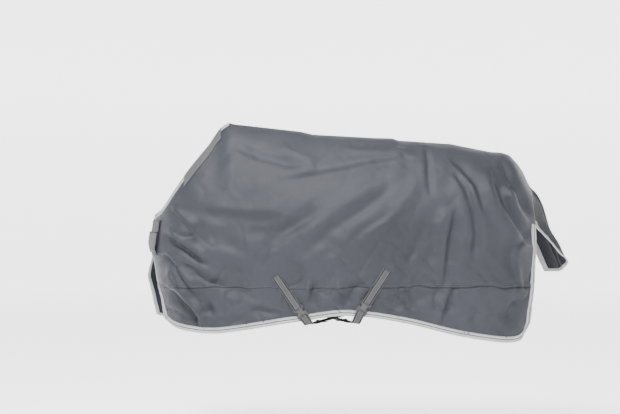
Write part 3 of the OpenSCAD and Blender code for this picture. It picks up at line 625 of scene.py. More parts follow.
drapeNoise = {  # depth in metres, then how many to the metre along and down
    "broad": (0.0075, 4, 5.5), "middle": (0.0045, 9, 14), "crease": (0.0050, 8, 13),
    "crinkle": (0.0014, 38, 44), "pucker": (0.0014, 55, 16)}
drapeShift = {"share": 0.35, "perMetre": 3}  # bends the rows of falls, so they do not line up
lowCloth = {"from": 0.35, "over": 0.45}  # below here the cloth is looser
puckerBand = {"reach": 0.022, "gain": 1.6}
creaseSharp = 2.2


def looseness(x, z):  # soft falls, sharp creases and fine crinkles
    n, per = drapeNoise, drapeShift["perMetre"]
    shift = noiseAt(x * per + 5, z * per + 9) * drapeShift["share"]
    deep, a, b = n["broad"]
    broad = noiseAt(x * a + shift, z * b) * deep
    deep, a, b = n["middle"]
    middle = noiseAt((x + z) * a + shift * 3, (z - x) * b) * deep
    deep, a, b = n["crease"]
    rough = 1 - np.abs(noiseAt((x - z) * a + shift * 4 + 17, (x + z) * b + 31)) * creaseSharp
    crease = -np.maximum(rough, 0) ** 3 * deep
    low = smooth((-z - lowCloth["from"]) / lowCloth["over"])
    deep, a, b = n["crinkle"]
    crinkle = noiseAt(x * a + 3 * shift, z * b) * deep * (0.4 + 0.8 * low)
    seam = np.exp(-((z - seamHeight) / puckerBand["reach"]) ** 2)
    deep, a, b = n["pucker"]
    pucker = noiseAt(x * a, z * b + 7) * seam * deep * puckerBand["gain"]
    return (broad + middle + crease * (0.5 + 0.9 * low)) * (0.7 + 0.6 * low) + crinkle + pucker


# The spine as the finished rug has it, against the plain curve
spineRun = np.array([(0, 0), (.0145, -.0053), (.141, -.0194), (.235, -.030), (.334, -.0415), (.390, -.055),
                     (.517, -.0617), (.681, -.071), (.761, -.0725), (.790, -.083), (.939, -.0926),
                     (1.033, -.099), (1.104, -.1133), (1.174, -.1274), (1.221, -.1368), (1.268, -.139),
                     (1.306, -.151), (1.334, -.179), (1.367, -.221), (1.40, -.288)])
spineU = np.linspace(withersLine, lastLine, 200)
spinePlain = drape(spineU, np.zeros_like(spineU))
calm = {  # where pieces lie on the cloth, and how far round them it stays close to its plain shape
    "bars": [(*np.array(joints[n]["pos_m"])[[0, 2]], 0.05) for n in ("front_hook_swing", "rear_hook_swing")],
    "rings": [(joints["near_leg_ring_swing"]["pos_m"][0],
               joints["near_leg_ring_swing"]["pos_m"][2] + 0.03, 0.05)],
}
calmShare = 0.85
foldGain = 1.5
edgeFade = {"hem": 3.6, "ends": 1.3, "kept": 0.4}
chestFlat = {"x": -0.31, "spread": 0.0011, "top": -0.43, "foot": -0.63, "fade": 0.03, "share": 0.9}
spineFade = {"lift": 0.22, "kept": 0.35, "run": 0.35, "rear": 0.03}
offFlare = {"reach": 1.1, "from": -0.585, "over": 0.16, "move": (-0.056, 0.016, 0.006)}
seamWave = {"broad": 0.010, "fine": 0.005, "reach": 0.05}
cornerRound = {"reach": 0.035, "in": 0.020, "up": 0.012}


def clothPlace(near, u, v):  # places on the folded cloth and the directions out of it
    p, n = drape(u, v), outward(u, v)
    x, z = p[..., 0], p[..., 2]
    lift = foldHeight(nearFolds if near else offFolds, x, z) * foldGain
    lift = lift + (looseness(x, z) if near else looseness(x + 3.3, z + 1.7))
    for cx, cz, r in calm["bars"] + calm["rings"]:
        lift = lift * (1 - calmShare * np.exp(-((x - cx) ** 2 + (z - cz) ** 2) / (2 * r * r)))
    f = edgeFade
    edge = np.minimum(np.minimum((3 - v) * f["hem"], u * f["ends"]), (lastLine - u) * f["ends"])
    lift = lift * (f["kept"] + (1 - f["kept"]) * smooth(edge))
    f = chestFlat
    chest = (np.exp(-np.maximum(x - f["x"], 0) ** 2 / f["spread"])
             * smooth((f["top"] - z) / f["fade"]) * smooth((z - f["foot"]) / f["fade"]))
    lift = lift * (1 - f["share"] * chest)
    f = spineFade
    spineShare = smooth(v / f["lift"])
    joined = u >= withersLine
    lift = np.where(joined, lift * spineShare, lift * (f["kept"] + (1 - f["kept"]) * spineShare))
    p = p + n * lift[..., None]
    real = np.interp(x, spineRun[:, 0], spineRun[:, 1]) - np.interp(x, spinePlain[:, 0], spinePlain[:, 2])
    nearRear = smooth((backLength - x) / f["rear"])
    p[..., 2] += np.where(joined, real * (1 - smooth(v / f["run"])) * nearRear, 0)
    if not near:  # the off front edge stands forward, so its inside shows
        f = offFlare
        flare = smooth((f["reach"] - u) / f["reach"]) * smooth((f["from"] - z) / f["over"])
        for axis, move in enumerate(f["move"]):
            p[..., axis] += flare * move
    f = seamWave
    wave = noiseAt(x * 7 + 3, x * 2) * f["broad"] + noiseAt(x * 21, x * 3 + 4) * f["fine"]
    p[..., 2] += wave * np.exp(-((z - seamHeight) / f["reach"]) ** 2) * smooth(edge)
    corner = drape(np.array([float(lastLine)]), np.array([3.0]))[0]
    far = (p[..., 0] - corner[0]) ** 2 + (p[..., 2] - corner[2]) ** 2
    cornerShare = np.exp(-far / cornerRound["reach"] ** 2)
    p[..., 0] -= cornerShare * cornerRound["in"]
    p[..., 2] += cornerShare * cornerRound["up"]
    if near:
        p = p * [1, -1, 1]
        n = n * [1, -1, 1]
    return p, n


def spread(low, high, sample, step):  # places between low and high, a step apart along the cloth
    fine = np.linspace(low, high, 400)
    p = sample(fine)
    run = runAlong(p)
    return np.interp(np.linspace(0, run[-1], max(2, int(round(run[-1] / step)) + 1)), run, fine)


# Mesh makers


def finishMesh(name, points, faces, coords, material):
    mesh = bpy.data.meshes.new(name)
    mesh.from_pydata(points.tolist(), [], faces)
    mesh.polygons.foreach_set("use_smooth", [True] * len(faces))
    layer = mesh.uv_layers.new(name="UVMap")
    corners = np.empty(len(mesh.loops), int)
    mesh.loops.foreach_get("vertex_index", corners)
    layer.data.foreach_set("uv", coords[corners].astype(np.float32).ravel())
    mesh.materials.append(finishes[material])
    piece = bpy.data.objects.new(name, mesh)
    scene.collection.objects.link(piece)
    return piece


def slab(name, outer, inner, coords, material, flip=False):  # closed sheet between two grids
    rows, cols = outer.shape[:2]
    points = np.concatenate([outer.reshape(-1, 3), inner.reshape(-1, 3)])
    count = rows * cols
    faces = []
    for i in range(rows - 1):
        for j in range(cols - 1):
            a, b, c, d = i * cols + j, (i + 1) * cols + j, (i + 1) * cols + j + 1, i * cols + j + 1
            faces.append((a, b, c, d))
            faces.append((a + count, d + count, c + count, b + count))
    rim = ([i * cols for i in range(rows)] + [(rows - 1) * cols + j for j in range(1, cols)]
           + [i * cols + cols - 1 for i in range(rows - 2, -1, -1)] + [j for j in range(cols - 2, 0, -1)])
    for k, a in enumerate(rim):
        b = rim[(k + 1) % len(rim)]
        faces.append((a, a + count, b + count, b))
    if flip:
        faces = [f[::-1] for f in faces]
    both = np.concatenate([coords.reshape(-1, 2)] * 2)
    return finishMesh(name, points, faces, both, material)


def sweep(name, sections, alongs, acrosses, material, flip=False):  # closed tube of sections
    n, m = sections.shape[:2]
    faces = []
    for k in range(n - 1):
        for q in range(m):
            r = (q + 1) % m
            faces.append((k * m + q, k * m + r, (k + 1) * m + r, (k + 1) * m + q))
    faces.append(tuple(range(m))[::-1])
    faces.append(tuple((n - 1) * m + q for q in range(m)))
    if flip:
        faces = [f[::-1] for f in faces]
    coords = np.stack([np.repeat(alongs, m), np.tile(acrosses, n)], -1)
    return finishMesh(name, sections.reshape(-1, 3), faces, coords, material)


webShape = {"width": 0.040, "thick": 0.0025, "crown": 0.0001, "across": 6, "flatShare": 0.985}


def bandOutline():
    width, thick, crown, across, flat = webShape.values()
    t = np.linspace(-0.5, 0.5, across + 1)
    over = [(width * s * flat, thick / 2 + crown * (1 - 4 * s * s)) for s in t]
    under = [(width * s * flat, -thick / 2) for s in t[::-1]]
    return np.array([(-width / 2, 0)] + over + [(width / 2, 0)] + under)


def band(name, route, across, flip=False):  # webbing laid along a route, flat in the direction across
    outline = bandOutline()
    ahead = unit(np.gradient(route, axis=0))
    sideways = unit(across - (across * ahead).sum(-1, keepdims=True) * ahead)
    up = np.cross(ahead, sideways) * (-1 if flip else 1)
    sections = (route[:, None] + sideways[:, None] * outline[None, :, :1]
                + up[:, None] * outline[None, :, 1:])
    widths = outline[:, 0] / webShape["width"] + 0.5
    return sweep(name, sections, runAlong(route), widths, "webbing", flip=not flip)


def curveThrough(points, step):  # a smooth line through a few points, step apart
    p = np.array(points, float)
    p = np.concatenate([[2 * p[0] - p[1]], p, [2 * p[-1] - p[-2]]])
    fine = []
    for i in range(1, len(p) - 2):
        t = np.linspace(0, 1, 24, endpoint=False)[:, None]
        fine.append(between(*p[i - 1:i + 3], t))
    fine = np.concatenate(fine + [p[-2:-1]])
    run = runAlong(fine[:, :3])
    at = np.linspace(0, run[-1], max(2, int(round(run[-1] / step)) + 1))
    return np.stack([np.interp(at, run, fine[:, k]) for k in range(fine.shape[1])], -1)


# Cloth sides

clothShape = {"step": 0.0085, "thick": 0.0018, "liningIn": 0.0024, "liningThick": 0.0012, "lap": 0.0012}
columnU = spread(0, lastLine, lambda u: drape(u, np.full_like(u, 1.3)), clothShape["step"])
upperV = spread(0, 2, lambda v: drape(np.full_like(v, 7.0), v), clothShape["step"])
lowerV = spread(2, 3, lambda v: drape(np.full_like(v, 7.0), v), clothShape["step"])


def flatCoords(p):  # metres along and down the cloth
    along = np.concatenate([np.zeros((1, p.shape[1])), np.linalg.norm(np.diff(p, axis=0), axis=2)]).cumsum(0)
    down = np.concatenate([np.zeros((p.shape[0], 1)),
                           np.linalg.norm(np.diff(p, axis=1), axis=2)], 1).cumsum(1)
    middle = along[:, along.shape[1] // 2][:, None]
    return np.stack([np.broadcast_to(middle, down.shape), down], -1)


for near in (True, False):
    sideName = "near" if near else "off"
    for part, vs, lift in (("side", upperV, clothShape["lap"]), ("lower", lowerV, 0)):
        u, v = np.meshgrid(columnU, vs, indexing="ij")
        p, n = clothPlace(near, u, v)
        seamEdge = np.exp(-((p[..., 2] - seamHeight) / 0.010) ** 2)[..., None]
        p = p + n * seamEdge * lift
        piece = slab(f"{sideName}_{part}_cloth", p, p - n * clothShape["thick"], flatCoords(p), "cloth",
                     flip=near)
        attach(piece, "rug")
        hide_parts(f"{sideName}_{part}_panel")
    u, v = np.meshgrid(columnU, np.concatenate([upperV, lowerV[1:]]), indexing="ij")
    p, n = clothPlace(near, u, v)
    inside = p - n * clothShape["liningIn"]
    piece = slab(f"{sideName}_lining_cloth", inside, inside - n * clothShape["liningThick"], flatCoords(p),
                 "lining", flip=near)
    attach(piece, "rug")
    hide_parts(f"{sideName}_lining")
print("cloth sides ready")

# Edge bindings

bindShape = {"width": 0.026, "rise": 0.0021, "inside": 0.0040, "steps": 4, "step": 0.006, "innerShare": 0.4,
             "neckTo": 3.98, "rearFrom": 0.84, "turn": 3, "reachU": 0.25, "reachV": 0.08}


def turnCorners(ins, corners, turn):  # the way in turns evenly from one edge to the next
    turned = ins.copy()
    for c in corners:
        for k in range(-turn, turn):
            t = (k + turn + 0.5) / (2 * turn)
            turned[c + k] = ins[c - turn - 1] * (1 - t) + ins[c + turn] * t
    return turned


def foldOver(p, n, out, top, under, foot):  # how a tape turns round the edge it binds
    return [p + top + out * 0.0004, p + out * 0.0016 - n * 0.0008, p + out * 0.0014 - n * under,
            p - n * foot + out * 0.0002]


def bindingRoute():  # places u, v along the edge, and how far in u and v a binding width reaches
    f = bindShape
    step, width = f["step"], f["width"]
    neck = spread(0, f["neckTo"], lambda u: drape(u, u * 0), step)[::-1]
    front = spread(0, 3, lambda v: drape(v * 0, v), step)
    hem = spread(0, lastLine, lambda u: drape(u, u * 0 + 3), step)
    rear = spread(f["rearFrom"], 3, lambda v: drape(v * 0 + lastLine, v), step)[::-1]
    route = ([(a, 0.0, 0.0, 1.0) for a in neck] + [(0.0, b, 1.0, 0.0) for b in front]
             + [(a, 3.0, 0.0, -1.0) for a in hem] + [(float(lastLine), b, -1.0, 0.0) for b in rear])
    route = np.array(route)
    corners = [len(neck), len(neck) + len(front), len(neck) + len(front) + len(hem)]
    ins = turnCorners(route[:, 2:], corners, f["turn"])
    u, v = route[:, 0], route[:, 1]
    uLow, uHigh = (np.clip(u + d, 0, lastLine) for d in (-f["reachU"], f["reachU"]))
    vLow, vHigh = (np.clip(v + d, 0, 3) for d in (-f["reachV"], f["reachV"]))
    perU = np.linalg.norm(drape(uHigh, v) - drape(uLow, v), axis=-1) / (uHigh - uLow)
    perV = np.linalg.norm(drape(u, vHigh) - drape(u, vLow), axis=-1) / (vHigh - vLow)
    return u, v, ins[:, 0] * width / perU, ins[:, 1] * width / perV


def edgeBinding(near):
    sideName = "near" if near else "off"
    u, v, inU, inV = bindingRoute()
    shares = np.linspace(1, 0, bindShape["steps"] + 1)
    rows = []
    for share in shares:
        p, n = clothPlace(near, np.clip(u + inU * share, 0, lastLine), np.clip(v + inV * share, 0, 3))
        rows.append((p, n))
    edge = rows[-1][0]
    outDir = unit(edge - rows[-2][0])
    rise, deep = bindShape["rise"], bindShape["inside"]
    outline = [p + n * (rise if 0 < k else 0.0006) for k, (p, n) in enumerate(rows[:-1])]
    p, n = rows[-1]
    outline += foldOver(p, n, outDir, n * rise * 0.8, deep - 0.0006, deep + rise * 0.6)
    for share, drop in ((0.2, rise), (bindShape["innerShare"], 0.0004)):
        p, n = clothPlace(near, np.clip(u + inU * share, 0, lastLine), np.clip(v + inV * share, 0, 3))
        outline.append(p - n * (deep + drop))
    sections = np.stack(outline, 1)
    across = np.concatenate([np.linspace(0, 1, len(rows)),
                             np.linspace(1, 1.3, sections.shape[1] - len(rows))])
    piece = sweep(f"{sideName}_edge_tape", sections, runAlong(edge), across, "tape", flip=not near)
    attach(piece, "rug")
    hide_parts(f"{sideName}_edge_binding")


for near in (True, False):
    edgeBinding(near)
print("edge bindings ready")

# Neck bands

neckShape = {"fromU": 2.15, "toU": 3.72, "width": 0.064, "lift": 0.0022, "thick": 0.0012}


def neckBand(near):
    f = neckShape
    sideName = "near" if near else "off"
    us = spread(f["fromU"], f["toU"], lambda u: drape(u, u * 0), 0.008)
    reach = 0.1 * f["width"] / np.linalg.norm(drape(us, us * 0 + 0.1) - drape(us, us * 0), axis=-1)
    u, t = np.meshgrid(us, np.linspace(0, 1, 8), indexing="ij")
    p, n = clothPlace(near, u, t * reach[:, None])
    out = p + n * (f["lift"] + 0.0004 * np.sin(math.pi * t))[..., None]
    coords = flatCoords(out)
    coords[..., 1] = t
    piece = slab(f"{sideName}_neck_label", out + n * f["thick"], out, coords, "band", flip=near)
    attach(piece, "rug")
    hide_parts(f"{sideName}_neck_band")


for near in (True, False):
    neckBand(near)
print("neck bands ready")

# Chest closure: places round the nose, from the near side (below 0) to the off side (above 0)

chestShape = {"insertTop": -0.455, "insertFoot": -0.575, "strapTop": -0.515, "strapHeight": 0.088,
              "insertIn": 0.0040, "insertThick": 0.0018, "strapIn": 0.0102, "strapThick": 0.0035,
              "reach": 0.9, "anchorTo": 1.5, "hingeU": (1.05, 0.78), "hingeZ": -0.56, "hingeOut": 0.01}
chestEdge = {"up": 0.003, "down": 0.005, "in": 0.0006, "thick": 0.0016}
pullTab = {"to": -0.50, "up": 0.004, "down": 0.020, "out": 0.001, "thick": 0.0022}


def chestPlaces(where, z, lift):  # where runs from -u on the near side to u on the off side
    places = np.empty(where.shape + (3,))
    normals = np.empty_like(places)
    for near in (True, False):
        pick = where < 0 if near else where >= 0
        u = np.abs(where[pick])
        p, n = clothPlace(near, u, heightAt(u, z[pick]))
        places[pick], normals[pick] = p, n
    return places + normals * lift[..., None]


def chestWrap(name, start, end, zTop, zFoot, lift, thick, material, columns=44, rows=12):
    where, t = np.meshgrid(np.linspace(start, end, columns), np.linspace(0, 1, rows), indexing="ij")
    z = (zTop + (zFoot - zTop) * t) * dropLength
    out = chestPlaces(where, z, np.full_like(where, lift + thick))
    inside = chestPlaces(where, z, np.full_like(where, lift))
    coords = flatCoords(out)
    if material in ("band", "tab"):
        coords[..., 1] = t
    return slab(name, out, inside, coords, material)


def makeChest():
    f = chestShape
    foot = f["strapTop"] - f["strapHeight"]
    insert = chestWrap("chest_stretch_insert", -f["reach"], f["reach"], f["insertTop"], f["insertFoot"],
                       f["insertIn"], f["insertThick"], "insert")
    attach(insert, "rug")
    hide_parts("chest_insert")
    strap = chestWrap("chest_label_strap", -f["reach"], f["anchorTo"], f["strapTop"], foot,
                      f["strapIn"], f["strapThick"], "band", columns=60)
    e = chestEdge
    edge = chestWrap("chest_strap_edge", -f["reach"], f["anchorTo"], f["strapTop"] + e["up"],
                     f["strapTop"] - e["down"], f["strapIn"] - e["in"], f["strapThick"] + e["thick"],
                     "lining", columns=60, rows=4)
    e = pullTab
    tab = chestWrap("chest_pull_tab", -f["reach"], e["to"], foot + e["up"], foot - e["down"],
                    f["strapIn"] + e["out"], e["thick"], "tab", columns=10, rows=6)
    return strap, edge, tab


chestPieces = makeChest()
hingeOn = chestPlaces(np.array(chestShape["hingeU"]), np.full(2, chestShape["hingeZ"]) * dropLength,
                      np.full(2, chestShape["hingeOut"]))
for piece in chestPieces[:2]:
    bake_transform(piece)
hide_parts("chest_strap", "chest_anchor")
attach(chestPieces[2], "chest_strap")
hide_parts("pull_tab")
print("chest ready")

# Side straps and belly straps

strapShape = {"lift": 0.0016, "bar": 0.0025, "gap": 0.0004, "points": 26, "clear": 0.0006, "easeFrom": 0.45,
              "turnSteps": 11, "tail": (0.008, 0.018, 0.028, 0.036), "lean": 0.001, "leanOver": 0.04}
heads = {"front": (0.2226, -0.704), "rear": (0.7196, -0.677)}
hooks = {name: joints[name + "_hook_swing"] for name in heads}


def hookPlace(name):
    j = hooks[name]
    bar = np.array(j["pos_m"])
    across = -np.array(j["axis"])
    down = unit(np.cross(across, [0, 1.0, 0]))
    if down[2] > 0:
        down = -down
    return bar, across, down


def sideStrap(name):
    bar, across, down = hookPlace(name)
    f, w = strapShape, webShape
    x, z = heads[name]
    t = np.linspace(0, 1, f["points"])[:, None]
    head = np.array([x, 0, z])
    onCloth = head + (bar * [1, 0, 1] - head) * t
    u, v = findPlace(onCloth[:, 0], onCloth[:, 2])
    p, n = clothPlace(True, u, v)
    lay = p + n * (f["lift"] + w["thick"] / 2)
    side = np.array([0, -1.0, 0])
    turn = f["bar"] + f["gap"] + w["thick"] / 2
    outer = bar + side * turn
    ease = smooth((t - f["easeFrom"]) / (1 - f["easeFrom"]))
    front = np.stack([onCloth[:, 0], (lay[:, 1:2] * (1 - ease) + outer[1] * ease)[:, 0], onCloth[:, 2]], -1)
    floor = (p + n * (f["lift"] + w["thick"] / 2 + f["clear"]))[:, 1]
    front[:, 1] = np.minimum(front[:, 1], floor)
    angle = np.linspace(0, math.pi, f["turnSteps"])[1:, None]
    wrap = bar + side * turn * np.cos(angle) + down * turn * np.sin(angle)
    tail = np.array([wrap[-1] - down * s + side * f["lean"] * s / f["leanOver"] for s in f["tail"]])
    route = np.concatenate([front[:-1], [outer], wrap, tail])
    piece = band(f"near_{name}_webbing", route, np.broadcast_to(across, route.shape), flip=True)
    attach(piece, "rug")
    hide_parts(f"near_{name}_strap")


for name in heads:
    sideStrap(name)


bellyShape = {"slotDown": 0.050, "slotIn": 0.004, "slotOut": 0.0031, "below": 0.006, "step": 0.008,
              "riseFrom": 0.15, "risePoints": 9, "riseEase": 0.6, "lift": 0.003, "clear": 0.0038}


def bellyStrap(name, other, level, toward):  # from the near catch, under the belly and up the off side
    f = bellyShape
    intoSlot = np.array([0, f["slotIn"], 0])
    bar, across, down = hookPlace(name)
    slot = bar + down * f["slotDown"] + intoSlot
    far, farAcross, farDown = hookPlace(other)
    far, farSlot = far * [1, -1, 1], (far + farDown * f["slotDown"] + intoSlot) * [1, -1, 1]
    out = f["slotOut"]
    # along the body, inward, and the share of the way down to the level under the belly
    ease = [(0, -out, 0), (0.013, -out, 0.55), (0.021, 0.006, 0.9), (0.030, 0.024, 1), (0.040, 0.060, 1)]
    near = [[slot[0] + toward * a, slot[1] + b, slot[2] + (level - slot[2]) * c] for a, b, c in ease]
    off = [[farSlot[0] - toward * a, farSlot[1] - b, farSlot[2] + (level - farSlot[2]) * c]
           for a, b, c in ease]
    near[0] = list(slot + [0, -out, 0] - down * f["below"])
    ahead = unit(np.array(off[-1]) - np.array(near[-1]))
    flat = np.array([ahead[1], -ahead[0], 0])
    x, z = heads[other]
    t = np.linspace(f["riseFrom"], 1, f["risePoints"])[:, None]
    head = np.array([x, 0, z])
    onCloth = far * [1, 0, 1] + (head - far * [1, 0, 1]) * t
    u, v = findPlace(onCloth[:, 0], onCloth[:, 2])
    p, n = clothPlace(False, u, v)
    lay = p + n * (f["lift"] + webShape["thick"] / 2)
    lay[:, 0], lay[:, 2] = onCloth[:, 0], onCloth[:, 2]
    start = far[1] - f["clear"]
    lay[:, 1] = start + (lay[:, 1] - start) * smooth(t[:, 0] / f["riseEase"])
    middle = [np.array(near[-1]) + (np.array(off[-1]) - np.array(near[-1])) * k / 6 for k in range(1, 6)]
    points = near + [list(m) for m in middle] + off[::-1] + lay.tolist()
    ways = ([across * (4 - k) / 4 + flat * k / 4 for k in range(5)] + [flat] * 5
            + [farAcross * (4 - k) / 4 + flat * k / 4 for k in range(4, -1, -1)] + [farAcross] * len(lay))
    both = curveThrough(np.concatenate([np.array(points), np.array(ways)], 1), f["step"])
    piece = band(f"{name}_belly_webbing", both[:, :3], both[:, 3:])
    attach(piece, "rug")
    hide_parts(f"{name}_belly_strap")


bellyLevel = {"front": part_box("front_adjuster"), "rear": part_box("rear_adjuster")}
bellyLevel = {name: (low.z + high.z) / 2 for name, (low, high) in bellyLevel.items()}
bellyStrap("front", "rear", bellyLevel["front"], 1)
bellyStrap("rear", "front", bellyLevel["rear"], -1)
print("straps ready")

# Leg tabs inside the rear edges


legShape = {"down": (0, 0.25, 0.5, 0.75), "back": (0.008, 0.018, 0.03), "lean": 0.0012, "leanOver": 0.03}


def legTab(near):
    f = legShape
    sideName = "near" if near else "off"
    j = joints[sideName + "_leg_ring_swing"]
    bar, axis = np.array(j["pos_m"]), unit(np.array(j["axis"]))
    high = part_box(sideName + "_leg_tab")[1]
    outDir = unit(np.cross(axis, [0, 0, 1.0]))
    outDir = outDir * np.sign(outDir[1] * bar[1])
    turn = strapShape["bar"] + strapShape["gap"] + webShape["thick"] / 2
    top = bar + outDir * turn + np.array([0, 0, high.z - bar[2]])
    angle = np.linspace(0, math.pi, strapShape["turnSteps"])[:, None]
    wrap = bar + outDir * turn * np.cos(angle) - np.array([0, 0, 1.0]) * turn * np.sin(angle)
    down = [top + (wrap[0] - top) * t for t in f["down"]]
    back = [wrap[-1] + np.array([0, 0, s]) + outDir * f["lean"] * s / f["leanOver"] for s in f["back"]]
    route = np.concatenate([down, wrap, back])
    piece = band(f"{sideName}_leg_webbing", route, np.broadcast_to(axis, route.shape), flip=near)
    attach(piece, "rug")
    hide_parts(f"{sideName}_leg_tab")


for near in (True, False):
    legTab(near)

# Tail gore and flap: places on the near edge, the middle and the off edge, from the dock down

freeRows = [[(1.466, -.130, -.530), (1.540, .004, -.590), (1.452, .152, -.596)],
            [(1.530, -.104, -.600), (1.576, .012, -.680), (1.500, .140, -.704)]]
sewnAt = {"u": lastLine - 0.12, "under": 0.005, "dock": 0.12, "heights": (-.352, -.456),
          "middles": ((1.455, 0, -.372), (1.494, -.004, -.486))}


def sewnPlace(near, v):
    p, n = clothPlace(near, np.array([sewnAt["u"]]), np.array([v]))
    return p[0] - n[0] * sewnAt["under"]


sewnRows = [[sewnPlace(True, sewnAt["dock"]), sewnPlace(False, 0.0), sewnPlace(False, sewnAt["dock"])]]
for z, middle in zip(sewnAt["heights"], sewnAt["middles"]):
    v = float(heightAt(np.array(sewnAt["u"]), np.array(z)))
    sewnRows.append([sewnPlace(True, v), middle, sewnPlace(False, v)])
tailRows = np.array(sewnRows + freeRows)
tailShape = {"columns": 49, "rows": 45, "thick": 0.0018, "bind": 0.024, "freeFrom": 0.48, "sideSteps": 34,
             "footSteps": 44, "perT": 0.155, "perS": 0.46}
tailFolds = {"wave": 0.006, "loose": 0.004, "crinkle": 0.0012, "fadeIn": 0.3,
             "sinks": [(-0.010, -0.30, 0.25, 0.13), (-0.006, 0.42, -0.2, 0.09)]}  # depth, place, slant, width


def tailPlace(t, s):  # t from -1 on the near edge to 1 on the off edge, s from 0 to 1 down
    k = np.clip(s, 0, 1) * (len(tailRows) - 1)
    i = np.clip(np.floor(k).astype(int), 0, len(tailRows) - 2)
    f = (k - i)[..., None, None]
    a, b = tailRows[np.maximum(i - 1, 0)], tailRows[i]
    c, d = tailRows[i + 1], tailRows[np.minimum(i + 2, len(tailRows) - 1)]
    near, middle, off = np.moveaxis(between(a, b, c, d, f), -2, 0)
    t = t[..., None]
    return near * t * (t - 1) / 2 + middle * (1 - t * t) + off * t * (t + 1) / 2


def tailCloth(t, s):
    e = 0.02
    dt = tailPlace(np.minimum(t + e, 1), s) - tailPlace(np.maximum(t - e, -1), s)
    ds = tailPlace(t, np.minimum(s + e, 1)) - tailPlace(t, np.maximum(s - e, 0))
    n = unit(np.cross(ds, dt))
    p = tailPlace(t, s)
    loose = smooth(s / 0.2)
    f = tailFolds
    lift = (f["wave"] * np.sin(t * 5.2 + s * 3.0 + 0.8) * loose
            + noiseAt(t * 3 + 9, s * 7 + 2) * f["loose"] * loose)
    for depth, place, slant, width in f["sinks"]:
        lift = lift + depth * np.exp(-((t - place - slant * s) / width) ** 2) * smooth(s / f["fadeIn"])
    lift = lift + noiseAt(t * 11 + 31, s * 26) * f["crinkle"]
    return p + n * lift[..., None], n


def makeTail():
    f = tailShape
    t, s = np.meshgrid(np.linspace(-1, 1, f["columns"]), np.linspace(0, 1, f["rows"]), indexing="ij")
    p, n = tailCloth(t, s)
    # the flap panel gets the darker cloth, its colour painted shade
    panel = slab("tail_flap_cloth", p, p - n * f["thick"], flatCoords(p), "tailCloth", flip=True)
    inside = p - n * clothShape["liningIn"]
    lining = slab("tail_flap_lining_cloth", inside, inside - n * clothShape["liningThick"], flatCoords(p),
                  "lining", flip=True)
    sides, foot = f["sideSteps"], f["footSteps"]
    down = np.linspace(f["freeFrom"], 1, sides)
    over = np.linspace(-1, 1, foot + 2)[1:-1]
    ts = np.concatenate([down * 0 - 1, over, down * 0 + 1])
    ss = np.concatenate([down, over * 0 + 1, down[::-1]])
    ins = np.concatenate([np.tile([1.0, 0.0], (sides, 1)), np.tile([0.0, -1.0], (foot, 1)),
                          np.tile([-1.0, 0.0], (sides, 1))])
    ins = turnCorners(ins, (sides, sides + foot), 2)
    reachT, reachS = f["bind"] / f["perT"], f["bind"] / f["perS"]
    rows = []
    for share in np.linspace(1, 0, 5):
        rows.append(tailCloth(np.clip(ts + ins[:, 0] * reachT * share, -1, 1),
                              np.clip(ss + ins[:, 1] * reachS * share, 0, 1)))
    out = unit(rows[-1][0] - rows[-2][0])
    outline = [p + n * (0.0012 if k else 0.0006) for k, (p, n) in enumerate(rows[:-1])]
    p, n = rows[-1]
    outline += foldOver(p, n, out, n * 0.001, 0.0034, 0.0046)
    outline += [p - n * (0.0052 if k < 4 else 0.0044) for k, (p, n) in list(enumerate(rows[::-1]))[1:]]
    sections = np.stack(outline, 1)
    across = np.concatenate([np.linspace(0, 1, 5), np.linspace(1, 1.12, 4)[1:],
                             1.12 + np.linspace(0, 1, 5)[1:]])
    tape = sweep("tail_flap_tape", sections, runAlong(rows[-1][0]), across, "tape")
    return panel, lining, tape


tailPieces = makeTail()
for piece in tailPieces:
    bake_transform(piece)
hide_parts("tail_flap_panel", "tail_gore")
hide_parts("tail_flap_lining", "tail_gore_lining")
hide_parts("tail_flap_binding")
print("tail ready")

# Stitches: short raised threads along a route on the near or off cloth


stitchShape = {"length": 0.0045, "gap": 0.0025, "size": 0.0007, "step": 0.004, "tackLift": 0.0006,
               "seamLift": 0.0016, "rows": (0.03, 0.065)}


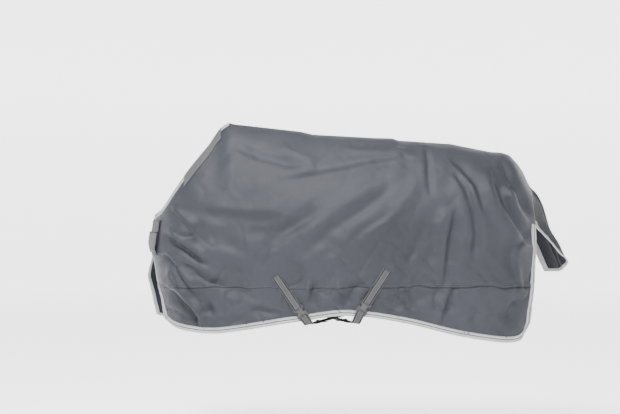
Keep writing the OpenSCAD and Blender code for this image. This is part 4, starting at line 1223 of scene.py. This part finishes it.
def stitchRun(name, runs, body):  # each run is its points and the directions out of the cloth
    length, gap, size = (stitchShape[key] for key in ("length", "gap", "size"))
    points, faces = [], []
    for route, normals in runs:
        run = runAlong(route)
        for start in np.arange(0, run[-1] - length, length + gap):
            ends = [np.array([np.interp(start + d, run, route[:, k]) for k in range(3)]) for d in (0, length)]
            n = unit(np.array([np.interp(start, run, normals[:, k]) for k in range(3)]))
            side = np.cross(unit(ends[1] - ends[0]), n) * size
            base = len(points)
            middle = (ends[0] + ends[1]) / 2
            for p, w, h in ((ends[0], 0.5, 0.2), (middle, 1.0, 1.0), (ends[1], 0.5, 0.2)):
                points += [p - side * w, p + n * size * (0.4 + h), p + side * w, p - n * size * 0.5]
            for k in (0, 4):
                faces += [(base + k + q, base + k + (q + 1) % 4, base + k + 4 + (q + 1) % 4, base + k + 4 + q)
                          for q in range(4)]
            faces += [(base + 3, base + 2, base + 1, base), (base + 8, base + 9, base + 10, base + 11)]
    points = np.array(points)
    piece = finishMesh(name, points, faces, points[:, [0, 2]], "thread")
    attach(piece, body)


def clothRun(near, us, vs, lift):
    p, n = clothPlace(near, us, vs)
    return p + n * lift, n


def routeOn(near, points):
    line = curveThrough(np.array([(x, 0, z) for x, z in points]), stitchShape["step"])
    u, v = findPlace(line[:, 0], line[:, 2])
    return clothRun(near, u, v, stitchShape["tackLift"])


dartRoute = [(-.263, -.404), (-.199, -.455), (-.158, -.497)]
tackRoutes = [[(1.350, -.592), (1.392, -.592)], [(1.350, -.640), (1.392, -.640)],
              [(1.350, -.596), (1.350, -.636)]]
for near in (True, False):
    seamU = np.linspace(0.25, lastLine - 0.2, 500)
    runs = [clothRun(near, seamU, seamU * 0 + 2 - d, stitchShape["seamLift"]) for d in stitchShape["rows"]]
    runs += [routeOn(near, r) for r in [dartRoute] + tackRoutes]
    stitchRun(("near" if near else "off") + "_seam_stitches", runs, "rug")


# Hard pieces keep their shape, with rounded edges

hardFinishes = {"plastic": ["snap_socket", "front_catch", "rear_catch", "front_hook", "rear_hook",
                            "front_adjuster", "rear_adjuster"],
                "metal": ["snap_stud", "near_leg_ring", "off_leg_ring"]}
hardEdge = {"round": 0.0006, "segments": 2}
for finishName, names in hardFinishes.items():
    for name in names:
        piece = frame["nodes"][name]
        piece.data.materials.clear()
        piece.data.materials.append(finishes[finishName])
        bevel = piece.modifiers.new("roundedEdges", "BEVEL")
        bevel.width = hardEdge["round"]
        bevel.segments = hardEdge["segments"]
        bevel.limit_method = "ANGLE"

print("pieces ready")
